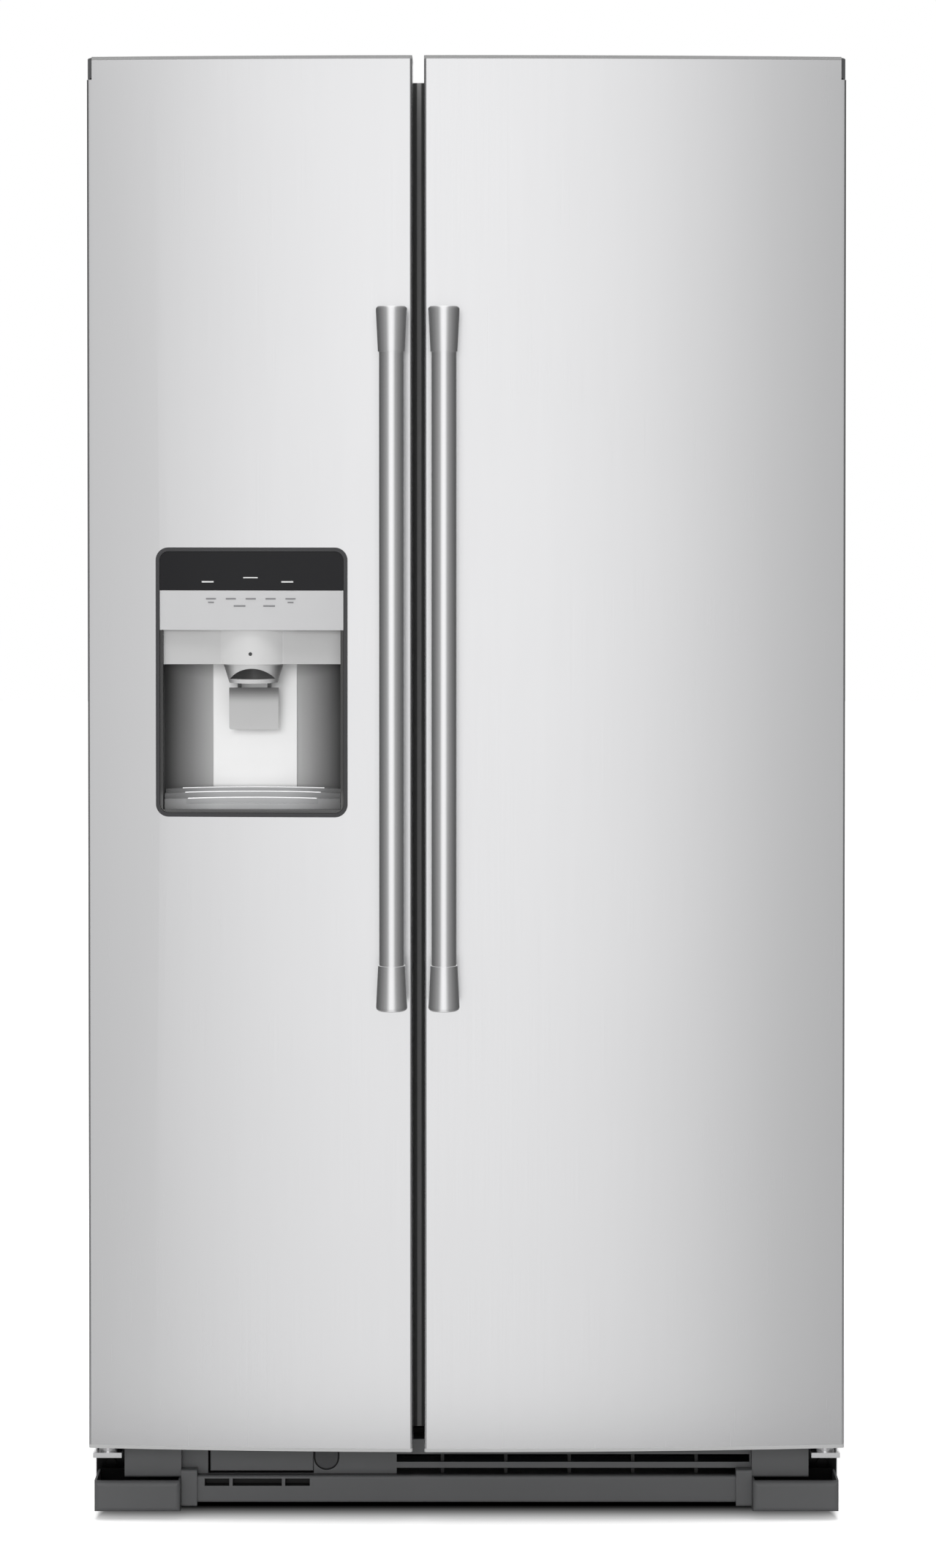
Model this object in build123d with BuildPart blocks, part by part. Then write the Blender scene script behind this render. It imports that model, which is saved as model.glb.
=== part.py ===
from build123d import *
import os
from collections import namedtuple
from math import hypot, sqrt

os.makedirs("parts", exist_ok=True)

# Cabinet sizes
CABINET_DEPTH = 711.0  # front flange to rear panel
HEIGHT = 1745.0  # floor to the top of the hinge covers
CABINET_DROP = 24.0  # hinge cover top to cabinet top
OVERCUT = 1.0  # how far a cutter runs past the face it opens
CABINET_BOTTOM = 100.0  # underside of the insulated box
SKIRT_BOTTOM = 30.0  # lower edge of the side panels
SHEET = 0.8  # steel sheet
FLANGE_WIDTH = 40.0  # front flange that the gaskets close on
FLANGE_THICKNESS = 2.0
SHELL_RADIUS = 6.0  # long top edges of the shell
REAR_BEAD = 1.2  # height of the pressed beads on the rear panel
BEAD_COUNT = 5
BEAD_WIDTH = 40.0
BEAD_MARGIN = 90.0
BEAD_TAPER = 20.0  # degrees
SIDE_WALL = 48.0  # cabinet side to compartment
MULLION_WIDTH = 60.0  # wall between the compartments
TOP_WALL = 46.0
FLOOR_WALL = 46.0
BACK_WALL = 75.0
LINER_WALL = 2.0
LINER_RADIUS = 10.0
STRIP_MARGIN = 4.0  # liner edge that shows beside the mullion strip

# Machine bay sizes
BAY_DEPTH = 210.0
BAY_TOP = 250.0
BAY_WALL = 45.0  # insulation over the bay
PAN_BOTTOM = 34.0
PAN_SHEET = 2.0
RAIL_WIDTH = 47.0  # side rail that holds a leg and a roller

# Door sizes
DOOR_SPAN = 898.0  # outer side to outer side, both doors
DOOR_OVERHANG = 1.0  # door side past the cabinet side
DOOR_DROP = 1.0  # hinge cover top to door top
DOOR_BOTTOM = 93.5
DOOR_SPLIT_X = -57.0  # middle of the gap between the doors
DOOR_GAP = 14.0
DOOR_THICKNESS = 75.0  # at the middle of the bow
DOOR_CROWN = 18.0  # bow of the front, shared by both doors
DOOR_EDGE_RADIUS = 3.0
DOOR_CAP_LIP = 4.0
DOOR_TOP_CAP = 54.0
DOOR_BOTTOM_CAP = 20.0
DOOR_LINER = 2.0
DIKE_WIDTH = 16.0  # raised frame on the inner side of a door
DIKE_HEIGHT = 34.0
DIKE_CLEARANCE = 10.0
GASKET_DEPTH = 12.0
GASKET_WIDTH = 14.0
GASKET_LIP_WIDTH = 8.0
GASKET_LIP_DEPTH = 8.0
GASKET_HINGE_INSET = 24.0
GASKET_FREE_INSET = 5.0

# Hinge sizes
HINGE_INSET = 20.0  # pin to the outer side of the door
HINGE_SETBACK = 26.0  # pin to the back of the door
PIN_RADIUS = 6.0
PIN_CLEARANCE = 0.05
PIN_LENGTH = 24.0
PIN_END_GAP = 3.0  # bottom pin to the end of its bore
HINGE_PLATE = 4.0
HINGE_DISC = 16.0
HINGE_NECK = 9.0
HINGE_PLATE_SETBACK = 3.0  # cabinet front to the hinge plate
HINGE_REACH = 92.0  # top hinge on the cabinet
HINGE_PLATE_WIDTH = 74.0
HINGE_COLLAR = 11.0
BOTTOM_ARM_DROP = 11.0  # door bottom to the hinge arm
BOTTOM_ARM_WIDTH = 34.0
BOTTOM_ARM_NOSE = 14.0  # arm in front of the pin
BOTTOM_ARM_LIP = 6.0
BOTTOM_PLATE_DROP = 32.0
BOTTOM_SCREW_INSET = 19.0  # from the cabinet side
BOTTOM_SCREWS = (57.5, 71.5)  # heights
TOP_SCREWS = ((30.0, 22.0), (56.0, 22.0), (30.0, 70.0))  # from the cabinet side and front
COVER_WALL = 2.0
COVER_DISC = 22.0
COVER_NECK_OUTER = 12.0
COVER_WIDTH = 86.0
COVER_REACH = 104.0
COVER_LIP = 8.0
COVER_OVERHANG = 3.0  # past the side of the cabinet
NOTCH_CLEARANCE = 2.0
NOTCH_CORNER = 6.0  # door side to the step that shows the cover
SCREW_RADIUS = 3.0
SCREW_HEAD_RADIUS = 6.0
SCREW_HEAD = 4.0
SCREW_CLEARANCE = 0.1

# Handle sizes
HANDLE_REACH = 59.0  # door front to handle front
HANDLE_SPACING = 61.0  # between the two bar axes
HANDLE_TOP = 1447.0
HANDLE_BOTTOM = 624.0
HANDLE_BAR_RADIUS = 14.5
HANDLE_END_RADIUS = 18.5
HANDLE_END_LENGTH = 53.0
HANDLE_SOCKET = 30.0  # bar let into each end
HANDLE_FIT = 0.05
HANDLE_POST_RADIUS = 11.0
HANDLE_END_ROUND = 4.0

# Dispenser sizes
DISPENSER_SHIFT = 2.5  # to the right of the middle of the freezer door
DISPENSER_MARGIN = 79.0  # door side to the dispenser, on average
DISPENSER_TOP = 1164.5
DISPENSER_BOTTOM = 846.0
DISPENSER_RADIUS = 15.0
TRIM_WIDTH = 4.5
TRIM_PROUD = 2.0
PANEL_GAP = 0.3
PANEL_THICKNESS = 3.0
DISPLAY_HEIGHT = 46.0
KEYPAD_HEIGHT = 47.0
VISOR_HEIGHT = 41.0
VISOR_SETBACK = 12.0
VISOR_THICKNESS = 3.0
HOUSING_WALL = 3.5
HOUSING_DEPTH = 84.0  # door front to the back of the recess
RECESS_SIDE_DEPTH = 34.0  # straight part of the recess sides
SPLASH_WIDTH = 100.0  # raised panel at the back of the recess
SPLASH_PROUD = 12.0
BULGE_WALL = 40.0  # insulation behind the recess
BULGE_MARGIN = 16.0  # insulation bulge beyond the recess
BULGE_RISE = 70.0
CHUTE_SETBACK = 39.0  # door front to the chute axis
CHUTE_OUTER = 29.0
CHUTE_BORE = 25.0
CHUTE_DRUM = 36.0
DRUM_RISE = 10.0  # rounded front of the drum, ahead of the visor
MOUTH_HALF = 27.0  # arched opening in the front of the nozzle
MOUTH_TOP_DROP = 5.0  # visor to the top of the arch
NOZZLE_RIM = 5.0
NOZZLE_DROP = 23.0
CHUTE_INLET_RISE = 150.0
CHUTE_FIT = 0.3
PADDLE_WIDTH = 59.0
PADDLE_HEIGHT = 44.0
PADDLE_THICKNESS = 3.0
PADDLE_PIVOT_DROP = 13.0  # nozzle to the paddle axle
PADDLE_ROUND = 3.0
PADDLE_GAP = 2.0  # plate to the lugs behind it
KNUCKLE = 4.0
PADDLE_SETBACK = 17.0  # chute axis to the paddle axle
AXLE_RADIUS = 3.0
AXLE_CLEARANCE = 0.05
LUG_WIDTH = 4.0
LUG_GAP = 1.0
TRAY_HEIGHT = 22.0
TRAY_LIP = 6.0
TRAY_STEP = 13.0
TRAY_FIT = 1.0

# Base sizes
BASE_GRILLE_INSET = 125.0  # cabinet side to the end of the grille bar
POST_WIDTH = 19.0
POST_BOTTOM = 14.0
POST_TOP = 58.0
GRILLE_BOTTOM = 18.0
GRILLE_STEP = 50.0  # top of the lower bar
GRILLE_TOP = 91.5
GRILLE_FRONT = 36.0  # lower bar in front of the cabinet
GRILLE_UPPER_FRONT = 26.0
GRILLE_WALL = 3.0
BLOCK_GAP = 2.0  # end block to hinge arm
FOOT_INSET = 3.0  # cabinet side to foot cover
FOOT_BOTTOM = 11.0
FOOT_TOP = 48.0
FOOT_FRONT = 52.0
FOOT_WALL = 2.5
FOOT_RADIUS = 6.0
LOUVRE_LEFT = -84.0
LOUVRE_RIGHT = 340.0
LOUVRE_BOTTOM = 50.0
LOUVRE_TOP = 73.5
LOUVRE_BAR_BOTTOM = 57.0
LOUVRE_BAR_TOP = 64.0
LOUVRE_FIRST_RIB = -29.0
LOUVRE_RIB_PITCH = 76.3
LOUVRE_RIB_COUNT = 5
LOUVRE_RIB = 4.0
SLOT_INSET = 134.0  # cabinet side to the slots
SLOT_WIDTH = 126.0
SLOT_BOTTOM = 38.0
SLOT_TOP = 47.0
SLOT_RIB = 4.0
FILTER_INSET = 140.0  # cabinet side to the filter cap
FILTER_WIDTH = 124.0
FILTER_CAP_BOTTOM = 53.0
FILTER_CAP_THICKNESS = 12.0
FILTER_CAP_ROUND = 1.5
FILTER_GAP = 2.5  # shadow gap beside and below the cap
FILTER_AXIS_Z = 72.0
FILTER_RADIUS = 19.0
FILTER_LENGTH = 232.0
FILTER_FIT = 0.3
FILTER_SLEEVE = 3.5
BUTTON_INSET = 265.5  # cabinet side to the eject button
BUTTON_WIDTH = 28.5
BUTTON_BOTTOM = 55.5
BUTTON_DEPTH = 16.0
BUTTON_ROUND = 1.0
BUTTON_FIT = 0.4
BUTTON_GROOVE = 1.2  # shadow line around the button
LEG_SETBACK = 46.0  # cabinet front to leg axis
LEG_PAD_RADIUS = 18.0
LEG_PAD = 8.0
LEG_NUT = 8.0
LEG_NUT_RADIUS = 11.0
LEG_STEM_RADIUS = 6.0
LEG_STEM_TOP = 84.0
LEG_CLEARANCE = 0.3
ROLLER_RADIUS = 22.0
ROLLER_WIDTH = 30.0
ROLLER_AXLE = 5.0
ROLLER_SETBACK = 66.5  # rear face to the axle
ROLLER_ROUND = 2.0
ROLLER_EAR = 24.0

# Interior sizes
SHELF_FRONT = 132.0  # behind the cabinet front
SHELF_BACK_GAP = 14.0
SHELF_FIT = 0.5
SHELF_HEIGHT = 14.0
SHELF_RIM = 14.0
SHELF_LEDGE = 6.0
GLASS_THICKNESS = 4.0
GLASS_FIT = 0.3
FRIDGE_SHELVES = (720.0, 980.0, 1240.0)  # upper faces
FREEZER_SHELVES = (470.0, 730.0, 990.0)  # upper faces
ICE_SHELF_DROP = 425.0  # ceiling to the shelf under the ice bucket
FREEZER_SHELF = 8.0
LEDGE_WIDTH = 6.0
LEDGE_HEIGHT = 8.0
SLAT_PITCH = 20.0
SLAT_GAP = 11.0
DRAWER_FRONT = 154.0  # behind the cabinet front
DRAWER_WALL = 2.5
DRAWER_FACE = 8.0
DRAWER_SIDE_GAP = 1.0
RUNNER_BOTTOM = 158.0
RUNNER = 3.0
RUNNER_WIDTH = 10.0
DRAWER_PANEL = 4.0
MID_PLATE = 302.0
DRAWER_TOP = 478.0
DRAWER_PLATE = 5.0
DRAWER_LIFT = 0.3
LOWER_DRAWER_HEIGHT = 134.0
UPPER_DRAWER_HEIGHT = 160.0
BASKET_HEIGHT = 150.0
PULL_WIDTH = 180.0
PULL_HEIGHT = 16.0
PULL_DEPTH = 4.0
EVAPORATOR_GAP = 52.0  # liner back to the evaporator cover
EVAPORATOR_COVER = 3.0
EVAPORATOR_COVER_TOP = 1420.0
VENT_COUNT = 7
VENT_LENGTH = 180.0
VENT_HEIGHT = 8.0
VENT_PITCH = 18.0
COIL_RADIUS = 4.0
COIL_BEND = 14.0
COIL_SPREAD = 2.05  # pitch over bend radius
COIL_PASSES = 10
COIL_PLATE = 2.0
COIL_BOTTOM = 430.0
COIL_MARGIN = 18.0
ICE_MAKER_DROP = 75.0  # ceiling to the ice maker
ICE_MAKER_HEIGHT = 80.0
ICE_MAKER_WIDTH = 150.0
ICE_MAKER_LENGTH = 250.0
ICE_MAKER_SETBACK = 300.0  # behind the cabinet front
ICE_MAKER_BOX = 50.0  # motor box at its front
ICE_CUBES = 7
BUCKET_HEIGHT = 180.0
BUCKET_WALL = 3.0
BUCKET_MARGIN = 9.0
BUCKET_DEPTH = 330.0
BUCKET_SPOUT = 34.0
CONTROL_WIDTH = 300.0
CONTROL_LENGTH = 300.0
CONTROL_HEIGHT = 42.0
CONTROL_LAMP = 90.0

# Door bin sizes
BIN_WALL = 2.5
BIN_FIT = 0.4
BIN_DEPTH = 90.0
BIN_HEIGHT = 100.0
FREEZER_BINS = (200.0, 420.0, 640.0)  # undersides, below the dispenser
TOP_BIN_DROP = 165.0  # ceiling to the underside of the top freezer bin
FRIDGE_BINS = (190.0, 460.0, 730.0, 1000.0)  # undersides
DAIRY_DROP = 245.0  # ceiling to the underside of the butter shelf
DAIRY_HEIGHT = 170.0
DAIRY_COVER = 2.5
DAIRY_PIVOT_DROP = 9.0
DAIRY_COVER_GAP = 1.0

# Machine bay contents
COMPRESSOR_X = -230.0
COMPRESSOR_RADIUS = 80.0
COMPRESSOR_HEIGHT = 175.0
COMPRESSOR_SEAM = 4.0
COMPRESSOR_BASE = (210.0, 150.0)
COMPRESSOR_PLATE = 4.0
COMPRESSOR_FOOT = 10.0
FAN_X = 10.0
FAN_RADIUS = 74.0
FAN_WIDTH = 20.0
FAN_BLADES = 5
FAN_PITCH = 32.0  # degrees
FAN_CHORD = 34.0
FAN_HUB = 18.0
FAN_SHAFT = 2.5
FAN_GAP = 4.0
SHROUD_THICKNESS = 3.0
MOTOR_RADIUS = 22.0
MOTOR_LENGTH = 40.0
MOTOR_GAP = 14.0
STRUT_WIDTH = 8.0
STRUT_COUNT = 3
STRUT_TURN = 60.0  # degrees from upright
CONDENSER_LEFT = 110.0
CONDENSER_INSET = 68.0  # cabinet side to the end of the tube
CONDENSER_PASSES = 8
CONDENSER_PITCH = 20.0
CONDENSER_TUBE = 3.0
REAR_COVER = 1.5
VALVE_INSET = 78.0  # cabinet side to the valve
VALVE_BODY = (30.0, 20.0, 40.0)
VALVE_Z = 90.0
INLET_RADIUS = 5.5
INLET_LENGTH = 18.0
INLET_HOLE = 16.0
GLAND_INSET = 63.0  # cabinet side to the cord bush
GLAND_OUTER = 11.0
GLAND_BORE = 5.0
GLAND_Z = 80.0
COVER_VENT = 90.0
VENT_COLUMNS = 6
VENT_ROWS = 6

# Places worked out from the sizes
CABINET_WIDTH = DOOR_SPAN - 2 * DOOR_OVERHANG
CABINET_TOP = HEIGHT - CABINET_DROP
DOOR_TOP = HEIGHT - DOOR_DROP
DEPTH = CABINET_DEPTH + GASKET_DEPTH + DOOR_THICKNESS + HANDLE_REACH
BACK_Y = DEPTH / 2
FRONT_Y = BACK_Y - CABINET_DEPTH
DOOR_BACK_Y = FRONT_Y - GASKET_DEPTH
DOOR_FRONT_Y = DOOR_BACK_Y - DOOR_THICKNESS
CROWN_RADIUS = ((DOOR_SPAN / 2) ** 2 + DOOR_CROWN**2) / (2 * DOOR_CROWN)
CROWN_CENTRE_Y = DOOR_FRONT_Y + CROWN_RADIUS
SIDE_X = CABINET_WIDTH / 2
PIN_X = DOOR_SPAN / 2 - HINGE_INSET
PIN_Y = DOOR_BACK_Y - HINGE_SETBACK
NOTCH_FLOOR = CABINET_TOP - HINGE_PLATE
OPEN_BOTTOM = CABINET_BOTTOM + FLOOR_WALL
OPEN_TOP = CABINET_TOP - TOP_WALL
LINER_BACK_Y = BACK_Y - BACK_WALL
BAY_FRONT_Y = BACK_Y - BAY_DEPTH
STEP_Y = BAY_FRONT_Y - BAY_WALL
STEP_TOP = BAY_TOP + BAY_WALL
FREEZER_OPEN = (SIDE_WALL - SIDE_X, DOOR_SPLIT_X - MULLION_WIDTH / 2)
FRIDGE_OPEN = (DOOR_SPLIT_X + MULLION_WIDTH / 2, SIDE_X - SIDE_WALL)
PAN_TOP = PAN_BOTTOM + PAN_SHEET
RAIL_OUTER = SIDE_X - SHEET
RAIL_INNER = RAIL_OUTER - RAIL_WIDTH
FOAM_BOTTOM = CABINET_BOTTOM + PAN_SHEET
REAR_FACE = BACK_Y - REAR_BEAD - SHEET
BAY_AXIS_Y = (BAY_FRONT_Y + REAR_FACE) / 2
FAN_AXIS_Z = (PAN_TOP + BAY_TOP) / 2
SLOT_LEFT = SLOT_INSET - SIDE_X
SLOT_RIGHT = SLOT_LEFT + SLOT_WIDTH
FILTER_LEFT = FILTER_INSET - SIDE_X
FILTER_RIGHT = FILTER_LEFT + FILTER_WIDTH
BUTTON_LEFT = BUTTON_INSET - SIDE_X
BUTTON_RIGHT = BUTTON_LEFT + BUTTON_WIDTH
CONDENSER_RIGHT = SIDE_X - CONDENSER_INSET
VALVE_X = SIDE_X - VALVE_INSET
GLAND_X = GLAND_INSET - SIDE_X
FREEZER_LEVELS = (*FREEZER_SHELVES, OPEN_TOP - ICE_SHELF_DROP)

Door = namedtuple("Door", "name side left right opening handle_x")
FREEZER = Door(
    "freezer",
    -1,
    -DOOR_SPAN / 2,
    DOOR_SPLIT_X - DOOR_GAP / 2,
    FREEZER_OPEN,
    DOOR_SPLIT_X - HANDLE_SPACING / 2,
)
FRIDGE = Door(
    "fridge",
    1,
    DOOR_SPLIT_X + DOOR_GAP / 2,
    DOOR_SPAN / 2,
    FRIDGE_OPEN,
    DOOR_SPLIT_X + HANDLE_SPACING / 2,
)


def save(piece, name):
    """Label a finished piece and write it."""
    piece.label = name
    export_step(piece, f"parts/{name}.step")


def block(x, y, z, mode=Mode.ADD):
    """Box between two limits on each axis, in the part being built."""
    with Locations(((x[0] + x[1]) / 2, (y[0] + y[1]) / 2, (z[0] + z[1]) / 2)):
        Box(x[1] - x[0], y[1] - y[0], z[1] - z[0], mode=mode)


def rod(start, radius, length, axis, mode=Mode.ADD):
    """Round bar from a centre point along X, Y or Z, in the part being built."""
    turn = {"X": (0, 90, 0), "Y": (-90, 0, 0), "Z": (0, 0, 0)}[axis]
    low = (Align.CENTER, Align.CENTER, Align.MIN)
    with Locations(start):
        Cylinder(radius, length, rotation=turn, align=low, mode=mode)


def mirrored(side, near, far):
    """Limits on X at two distances from the middle, on the side given."""
    return tuple(sorted((side * near, side * far)))


def inside(limits, gap):
    """Limits drawn in by a gap at both ends."""
    return (limits[0] + gap, limits[1] - gap)


def front_at(x, proud=0.0):
    """Y of the crowned door front, or of a surface that stands proud of it."""
    return CROWN_CENTRE_Y - sqrt((CROWN_RADIUS + proud) ** 2 - x**2)


def door_outline(door, inset, back_y):
    """Plan of a door, drawn in by an inset at its front and sides."""
    left = door.left + inset
    right = door.right - inset
    middle = (left + right) / 2
    with BuildSketch() as plan:
        with BuildLine():
            Polyline(
                (left, front_at(left, -inset)),
                (left, back_y),
                (right, back_y),
                (right, front_at(right, -inset)),
            )
            ThreePointArc(
                (left, front_at(left, -inset)),
                (middle, front_at(middle, -inset)),
                (right, front_at(right, -inset)),
            )
        make_face()
        fillet(plan.vertices().filter_by(lambda v: v.Y < back_y), DOOR_EDGE_RADIUS - inset)
    return plan.sketch


def hinge_notch(door):
    """Clear the top outer corner of a door for the hinge and its cover."""
    outer = DOOR_SPAN / 2 + OVERCUT
    tall = (NOTCH_FLOOR, DOOR_TOP + OVERCUT)
    reach = COVER_DISC + NOTCH_CLEARANCE
    depth = (PIN_Y - reach - NOTCH_CLEARANCE, DOOR_BACK_Y + OVERCUT)
    block(mirrored(door.side, PIN_X - reach, outer), depth, tall, Mode.SUBTRACT)
    corner = (DOOR_FRONT_Y, DOOR_BACK_Y + OVERCUT)
    edge = DOOR_SPAN / 2 - NOTCH_CORNER
    block(mirrored(door.side, edge, outer), corner, tall, Mode.SUBTRACT)


# Dispenser places
DISPENSER_X = (FREEZER.left + FREEZER.right) / 2 + DISPENSER_SHIFT
DISPENSER_FRONT_Y = front_at(DISPENSER_X)
DISPENSER_WIDTH = FREEZER.right - FREEZER.left - 2 * DISPENSER_MARGIN
HOLE_HALF = DISPENSER_WIDTH / 2 - TRIM_WIDTH
HOLE_BOTTOM = DISPENSER_BOTTOM + TRIM_WIDTH
HOLE_TOP = DISPENSER_TOP - TRIM_WIDTH
KEYPAD_TOP = HOLE_TOP - DISPLAY_HEIGHT
KEYPAD_BOTTOM = KEYPAD_TOP - KEYPAD_HEIGHT
VISOR_BOTTOM = KEYPAD_BOTTOM - VISOR_HEIGHT
NOZZLE_BOTTOM = VISOR_BOTTOM - NOZZLE_DROP
HOUSING_BACK_Y = DISPENSER_FRONT_Y + HOUSING_DEPTH
RECESS_BACK_Y = HOUSING_BACK_Y - HOUSING_WALL
RECESS_HALF = HOLE_HALF - PANEL_GAP - HOUSING_WALL
RECESS_BOTTOM = HOLE_BOTTOM + PANEL_GAP + HOUSING_WALL
BULGE_BACK_Y = HOUSING_BACK_Y + BULGE_WALL
CHUTE_Y = DISPENSER_FRONT_Y + CHUTE_SETBACK
CHUTE_INLET_Z = KEYPAD_BOTTOM + CHUTE_INLET_RISE
PADDLE_PIVOT_Z = NOZZLE_BOTTOM - PADDLE_PIVOT_DROP
BULGE_TOP = DISPENSER_TOP + BULGE_RISE


def dispenser_hole(inset, mode):
    """Rounded hole of the dispenser, right through the front of the door."""
    height = HOLE_TOP - HOLE_BOTTOM - 2 * inset
    radius = DISPENSER_RADIUS - TRIM_WIDTH - inset
    with BuildSketch(Plane.XZ.offset(-HOUSING_BACK_Y)) as hole:
        with Locations((DISPENSER_X, (HOLE_TOP + HOLE_BOTTOM) / 2)):
            RectangleRounded(2 * (HOLE_HALF - inset), height, radius)
    extrude(hole.sketch, amount=2 * HOUSING_DEPTH, mode=mode)


def bulge(inset, mode):
    """Insulation behind the dispenser, drawn in by an inset on every side."""
    half = HOLE_HALF + BULGE_MARGIN - inset
    x = (DISPENSER_X - half, DISPENSER_X + half)
    y = (DOOR_BACK_Y - DOOR_LINER, BULGE_BACK_Y - inset)
    z = (DISPENSER_BOTTOM - BULGE_MARGIN + inset, BULGE_TOP - inset)
    block(x, y, z, mode)


CHUTE_ELBOW = (DISPENSER_X, CHUTE_Y, KEYPAD_BOTTOM)


def chute_slope(radius, below, mode):
    """Sloping part of the ice path, from some way below the elbow to the inside of the door."""
    run = BULGE_BACK_Y - CHUTE_Y
    rise = CHUTE_INLET_Z - KEYPAD_BOTTOM
    across = Plane(origin=CHUTE_ELBOW, x_dir=(1, 0, 0), z_dir=(0, run, rise))
    with BuildSketch(across.offset(-below)) as bore:
        Circle(radius)
    extrude(bore.sketch, amount=hypot(run, rise) + below, mode=mode)


def chute_path(radius, mode):
    """Ice path: down from the inside of the door, then straight through the nozzle."""
    chute_slope(radius, 0.0, mode)
    with Locations(CHUTE_ELBOW):
        Sphere(radius, mode=mode)
    rod((DISPENSER_X, CHUTE_Y, NOZZLE_BOTTOM), radius, KEYPAD_BOTTOM - NOZZLE_BOTTOM, "Z", mode)


def dike(door, inset, mode):
    """Raised frame on the back of a door, drawn in by an inset on every side."""
    width = door.opening[1] - door.opening[0] - 2 * DIKE_CLEARANCE
    height = OPEN_TOP - OPEN_BOTTOM - 2 * DIKE_CLEARANCE
    centre = (sum(door.opening) / 2, (OPEN_TOP + OPEN_BOTTOM) / 2)
    inner = DIKE_WIDTH - inset
    with BuildSketch(Plane.XZ.offset(DOOR_LINER - DOOR_BACK_Y)) as frame:
        with Locations(centre):
            RectangleRounded(width - 2 * inset, height - 2 * inset, LINER_RADIUS - inset)
            Rectangle(width - 2 * inner, height - 2 * inner, mode=Mode.SUBTRACT)
    extrude(frame.sketch, amount=inset - DIKE_HEIGHT - DOOR_LINER, mode=mode)


def door_skin(door):
    """Crowned steel front with folded sides."""
    outer = door_outline(door, 0.0, DOOR_BACK_Y)
    inner = door_outline(door, SHEET, DOOR_BACK_Y)
    with BuildPart() as skin:
        with BuildSketch(Plane.XY.offset(DOOR_BOTTOM + DOOR_CAP_LIP)):
            add(outer)
            add(inner, mode=Mode.SUBTRACT)
        extrude(amount=DOOR_TOP - DOOR_BOTTOM - 2 * DOOR_CAP_LIP)
        hinge_notch(door)
        if door is FREEZER:
            dispenser_hole(0.0, Mode.SUBTRACT)
    return skin.part


def door_caps(door):
    """Moulded ends that close the skin and hold the hinge bores."""
    outer = door_outline(door, 0.0, DOOR_BACK_Y)
    inner = door_outline(door, SHEET, DOOR_BACK_Y)
    pin_x = door.side * PIN_X
    bore = PIN_RADIUS + PIN_CLEARANCE
    top_cap_bottom = DOOR_TOP - DOOR_TOP_CAP
    with BuildPart() as caps:
        with BuildSketch(Plane.XY.offset(top_cap_bottom)):
            add(inner)
        extrude(amount=DOOR_TOP_CAP)
        with BuildSketch(Plane.XY.offset(DOOR_TOP - DOOR_CAP_LIP)):
            add(outer)
        extrude(amount=DOOR_CAP_LIP)
        hinge_notch(door)
        rod((pin_x, PIN_Y, top_cap_bottom), bore, DOOR_TOP_CAP, "Z", Mode.SUBTRACT)
        with BuildSketch(Plane.XY.offset(DOOR_BOTTOM)):
            add(inner)
        extrude(amount=DOOR_BOTTOM_CAP)
        with BuildSketch(Plane.XY.offset(DOOR_BOTTOM)):
            add(outer)
        extrude(amount=DOOR_CAP_LIP)
        rod((pin_x, PIN_Y, DOOR_BOTTOM), bore, DOOR_BOTTOM_CAP, "Z", Mode.SUBTRACT)
    return caps.part


def door_foam(door):
    """Insulation that fills the door between the skin, the ends and the liner."""
    inner = door_outline(door, SHEET, DOOR_BACK_Y - DOOR_LINER)
    low = DOOR_BOTTOM + DOOR_BOTTOM_CAP
    with BuildPart() as foam:
        with BuildSketch(Plane.XY.offset(low)):
            add(inner)
        extrude(amount=DOOR_TOP - DOOR_TOP_CAP - low)
        dike(door, DOOR_LINER, Mode.ADD)
        if door is FREEZER:
            bulge(DOOR_LINER, Mode.ADD)
            dispenser_hole(0.0, Mode.SUBTRACT)
            chute_path(CHUTE_OUTER + CHUTE_FIT, Mode.SUBTRACT)
    return foam.part


def door_liner(door):
    """Formed plastic back of a door with a raised frame that holds the bins."""
    low = DOOR_BOTTOM + DOOR_BOTTOM_CAP
    with BuildPart() as liner:
        across = (door.left + SHEET, door.right - SHEET)
        block(across, (DOOR_BACK_Y - DOOR_LINER, DOOR_BACK_Y), (low, DOOR_TOP - DOOR_TOP_CAP))
        dike(door, 0.0, Mode.ADD)
        if door is FREEZER:
            bulge(0.0, Mode.ADD)
            bulge(DOOR_LINER, Mode.SUBTRACT)
        dike(door, DOOR_LINER, Mode.SUBTRACT)
        if door is FREEZER:
            chute_path(CHUTE_OUTER + CHUTE_FIT, Mode.SUBTRACT)
    return liner.part


def door_gasket(door):
    """Magnetic seal: a flat root on the door with a narrower lip."""
    near = {-1: GASKET_HINGE_INSET, 1: GASKET_FREE_INSET}[door.side]
    far = {-1: GASKET_FREE_INSET, 1: GASKET_HINGE_INSET}[door.side]
    x = (door.left + near, door.right - far)
    z = (OPEN_BOTTOM - DIKE_CLEARANCE - GASKET_WIDTH, OPEN_TOP + DIKE_CLEARANCE + GASKET_WIDTH)
    width = x[1] - x[0]
    height = z[1] - z[0]
    step = (GASKET_WIDTH - GASKET_LIP_WIDTH) / 2
    layers = (
        (0.0, GASKET_WIDTH, DOOR_BACK_Y, GASKET_DEPTH - GASKET_LIP_DEPTH),
        (step, GASKET_WIDTH - step, FRONT_Y - GASKET_LIP_DEPTH, GASKET_LIP_DEPTH - PANEL_GAP),
    )
    with BuildPart() as gasket:
        for outer, inner, y, depth in layers:
            with BuildSketch(Plane.XZ.offset(-y)):
                with Locations((sum(x) / 2, sum(z) / 2)):
                    Rectangle(width - 2 * outer, height - 2 * outer)
                    Rectangle(width - 2 * inner, height - 2 * inner, mode=Mode.SUBTRACT)
            extrude(amount=-depth)
    return gasket.part


HANDLE_Y = HANDLE_END_RADIUS - DEPTH / 2
SOCKET_DEPTH = HANDLE_END_LENGTH - HANDLE_SOCKET


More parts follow.
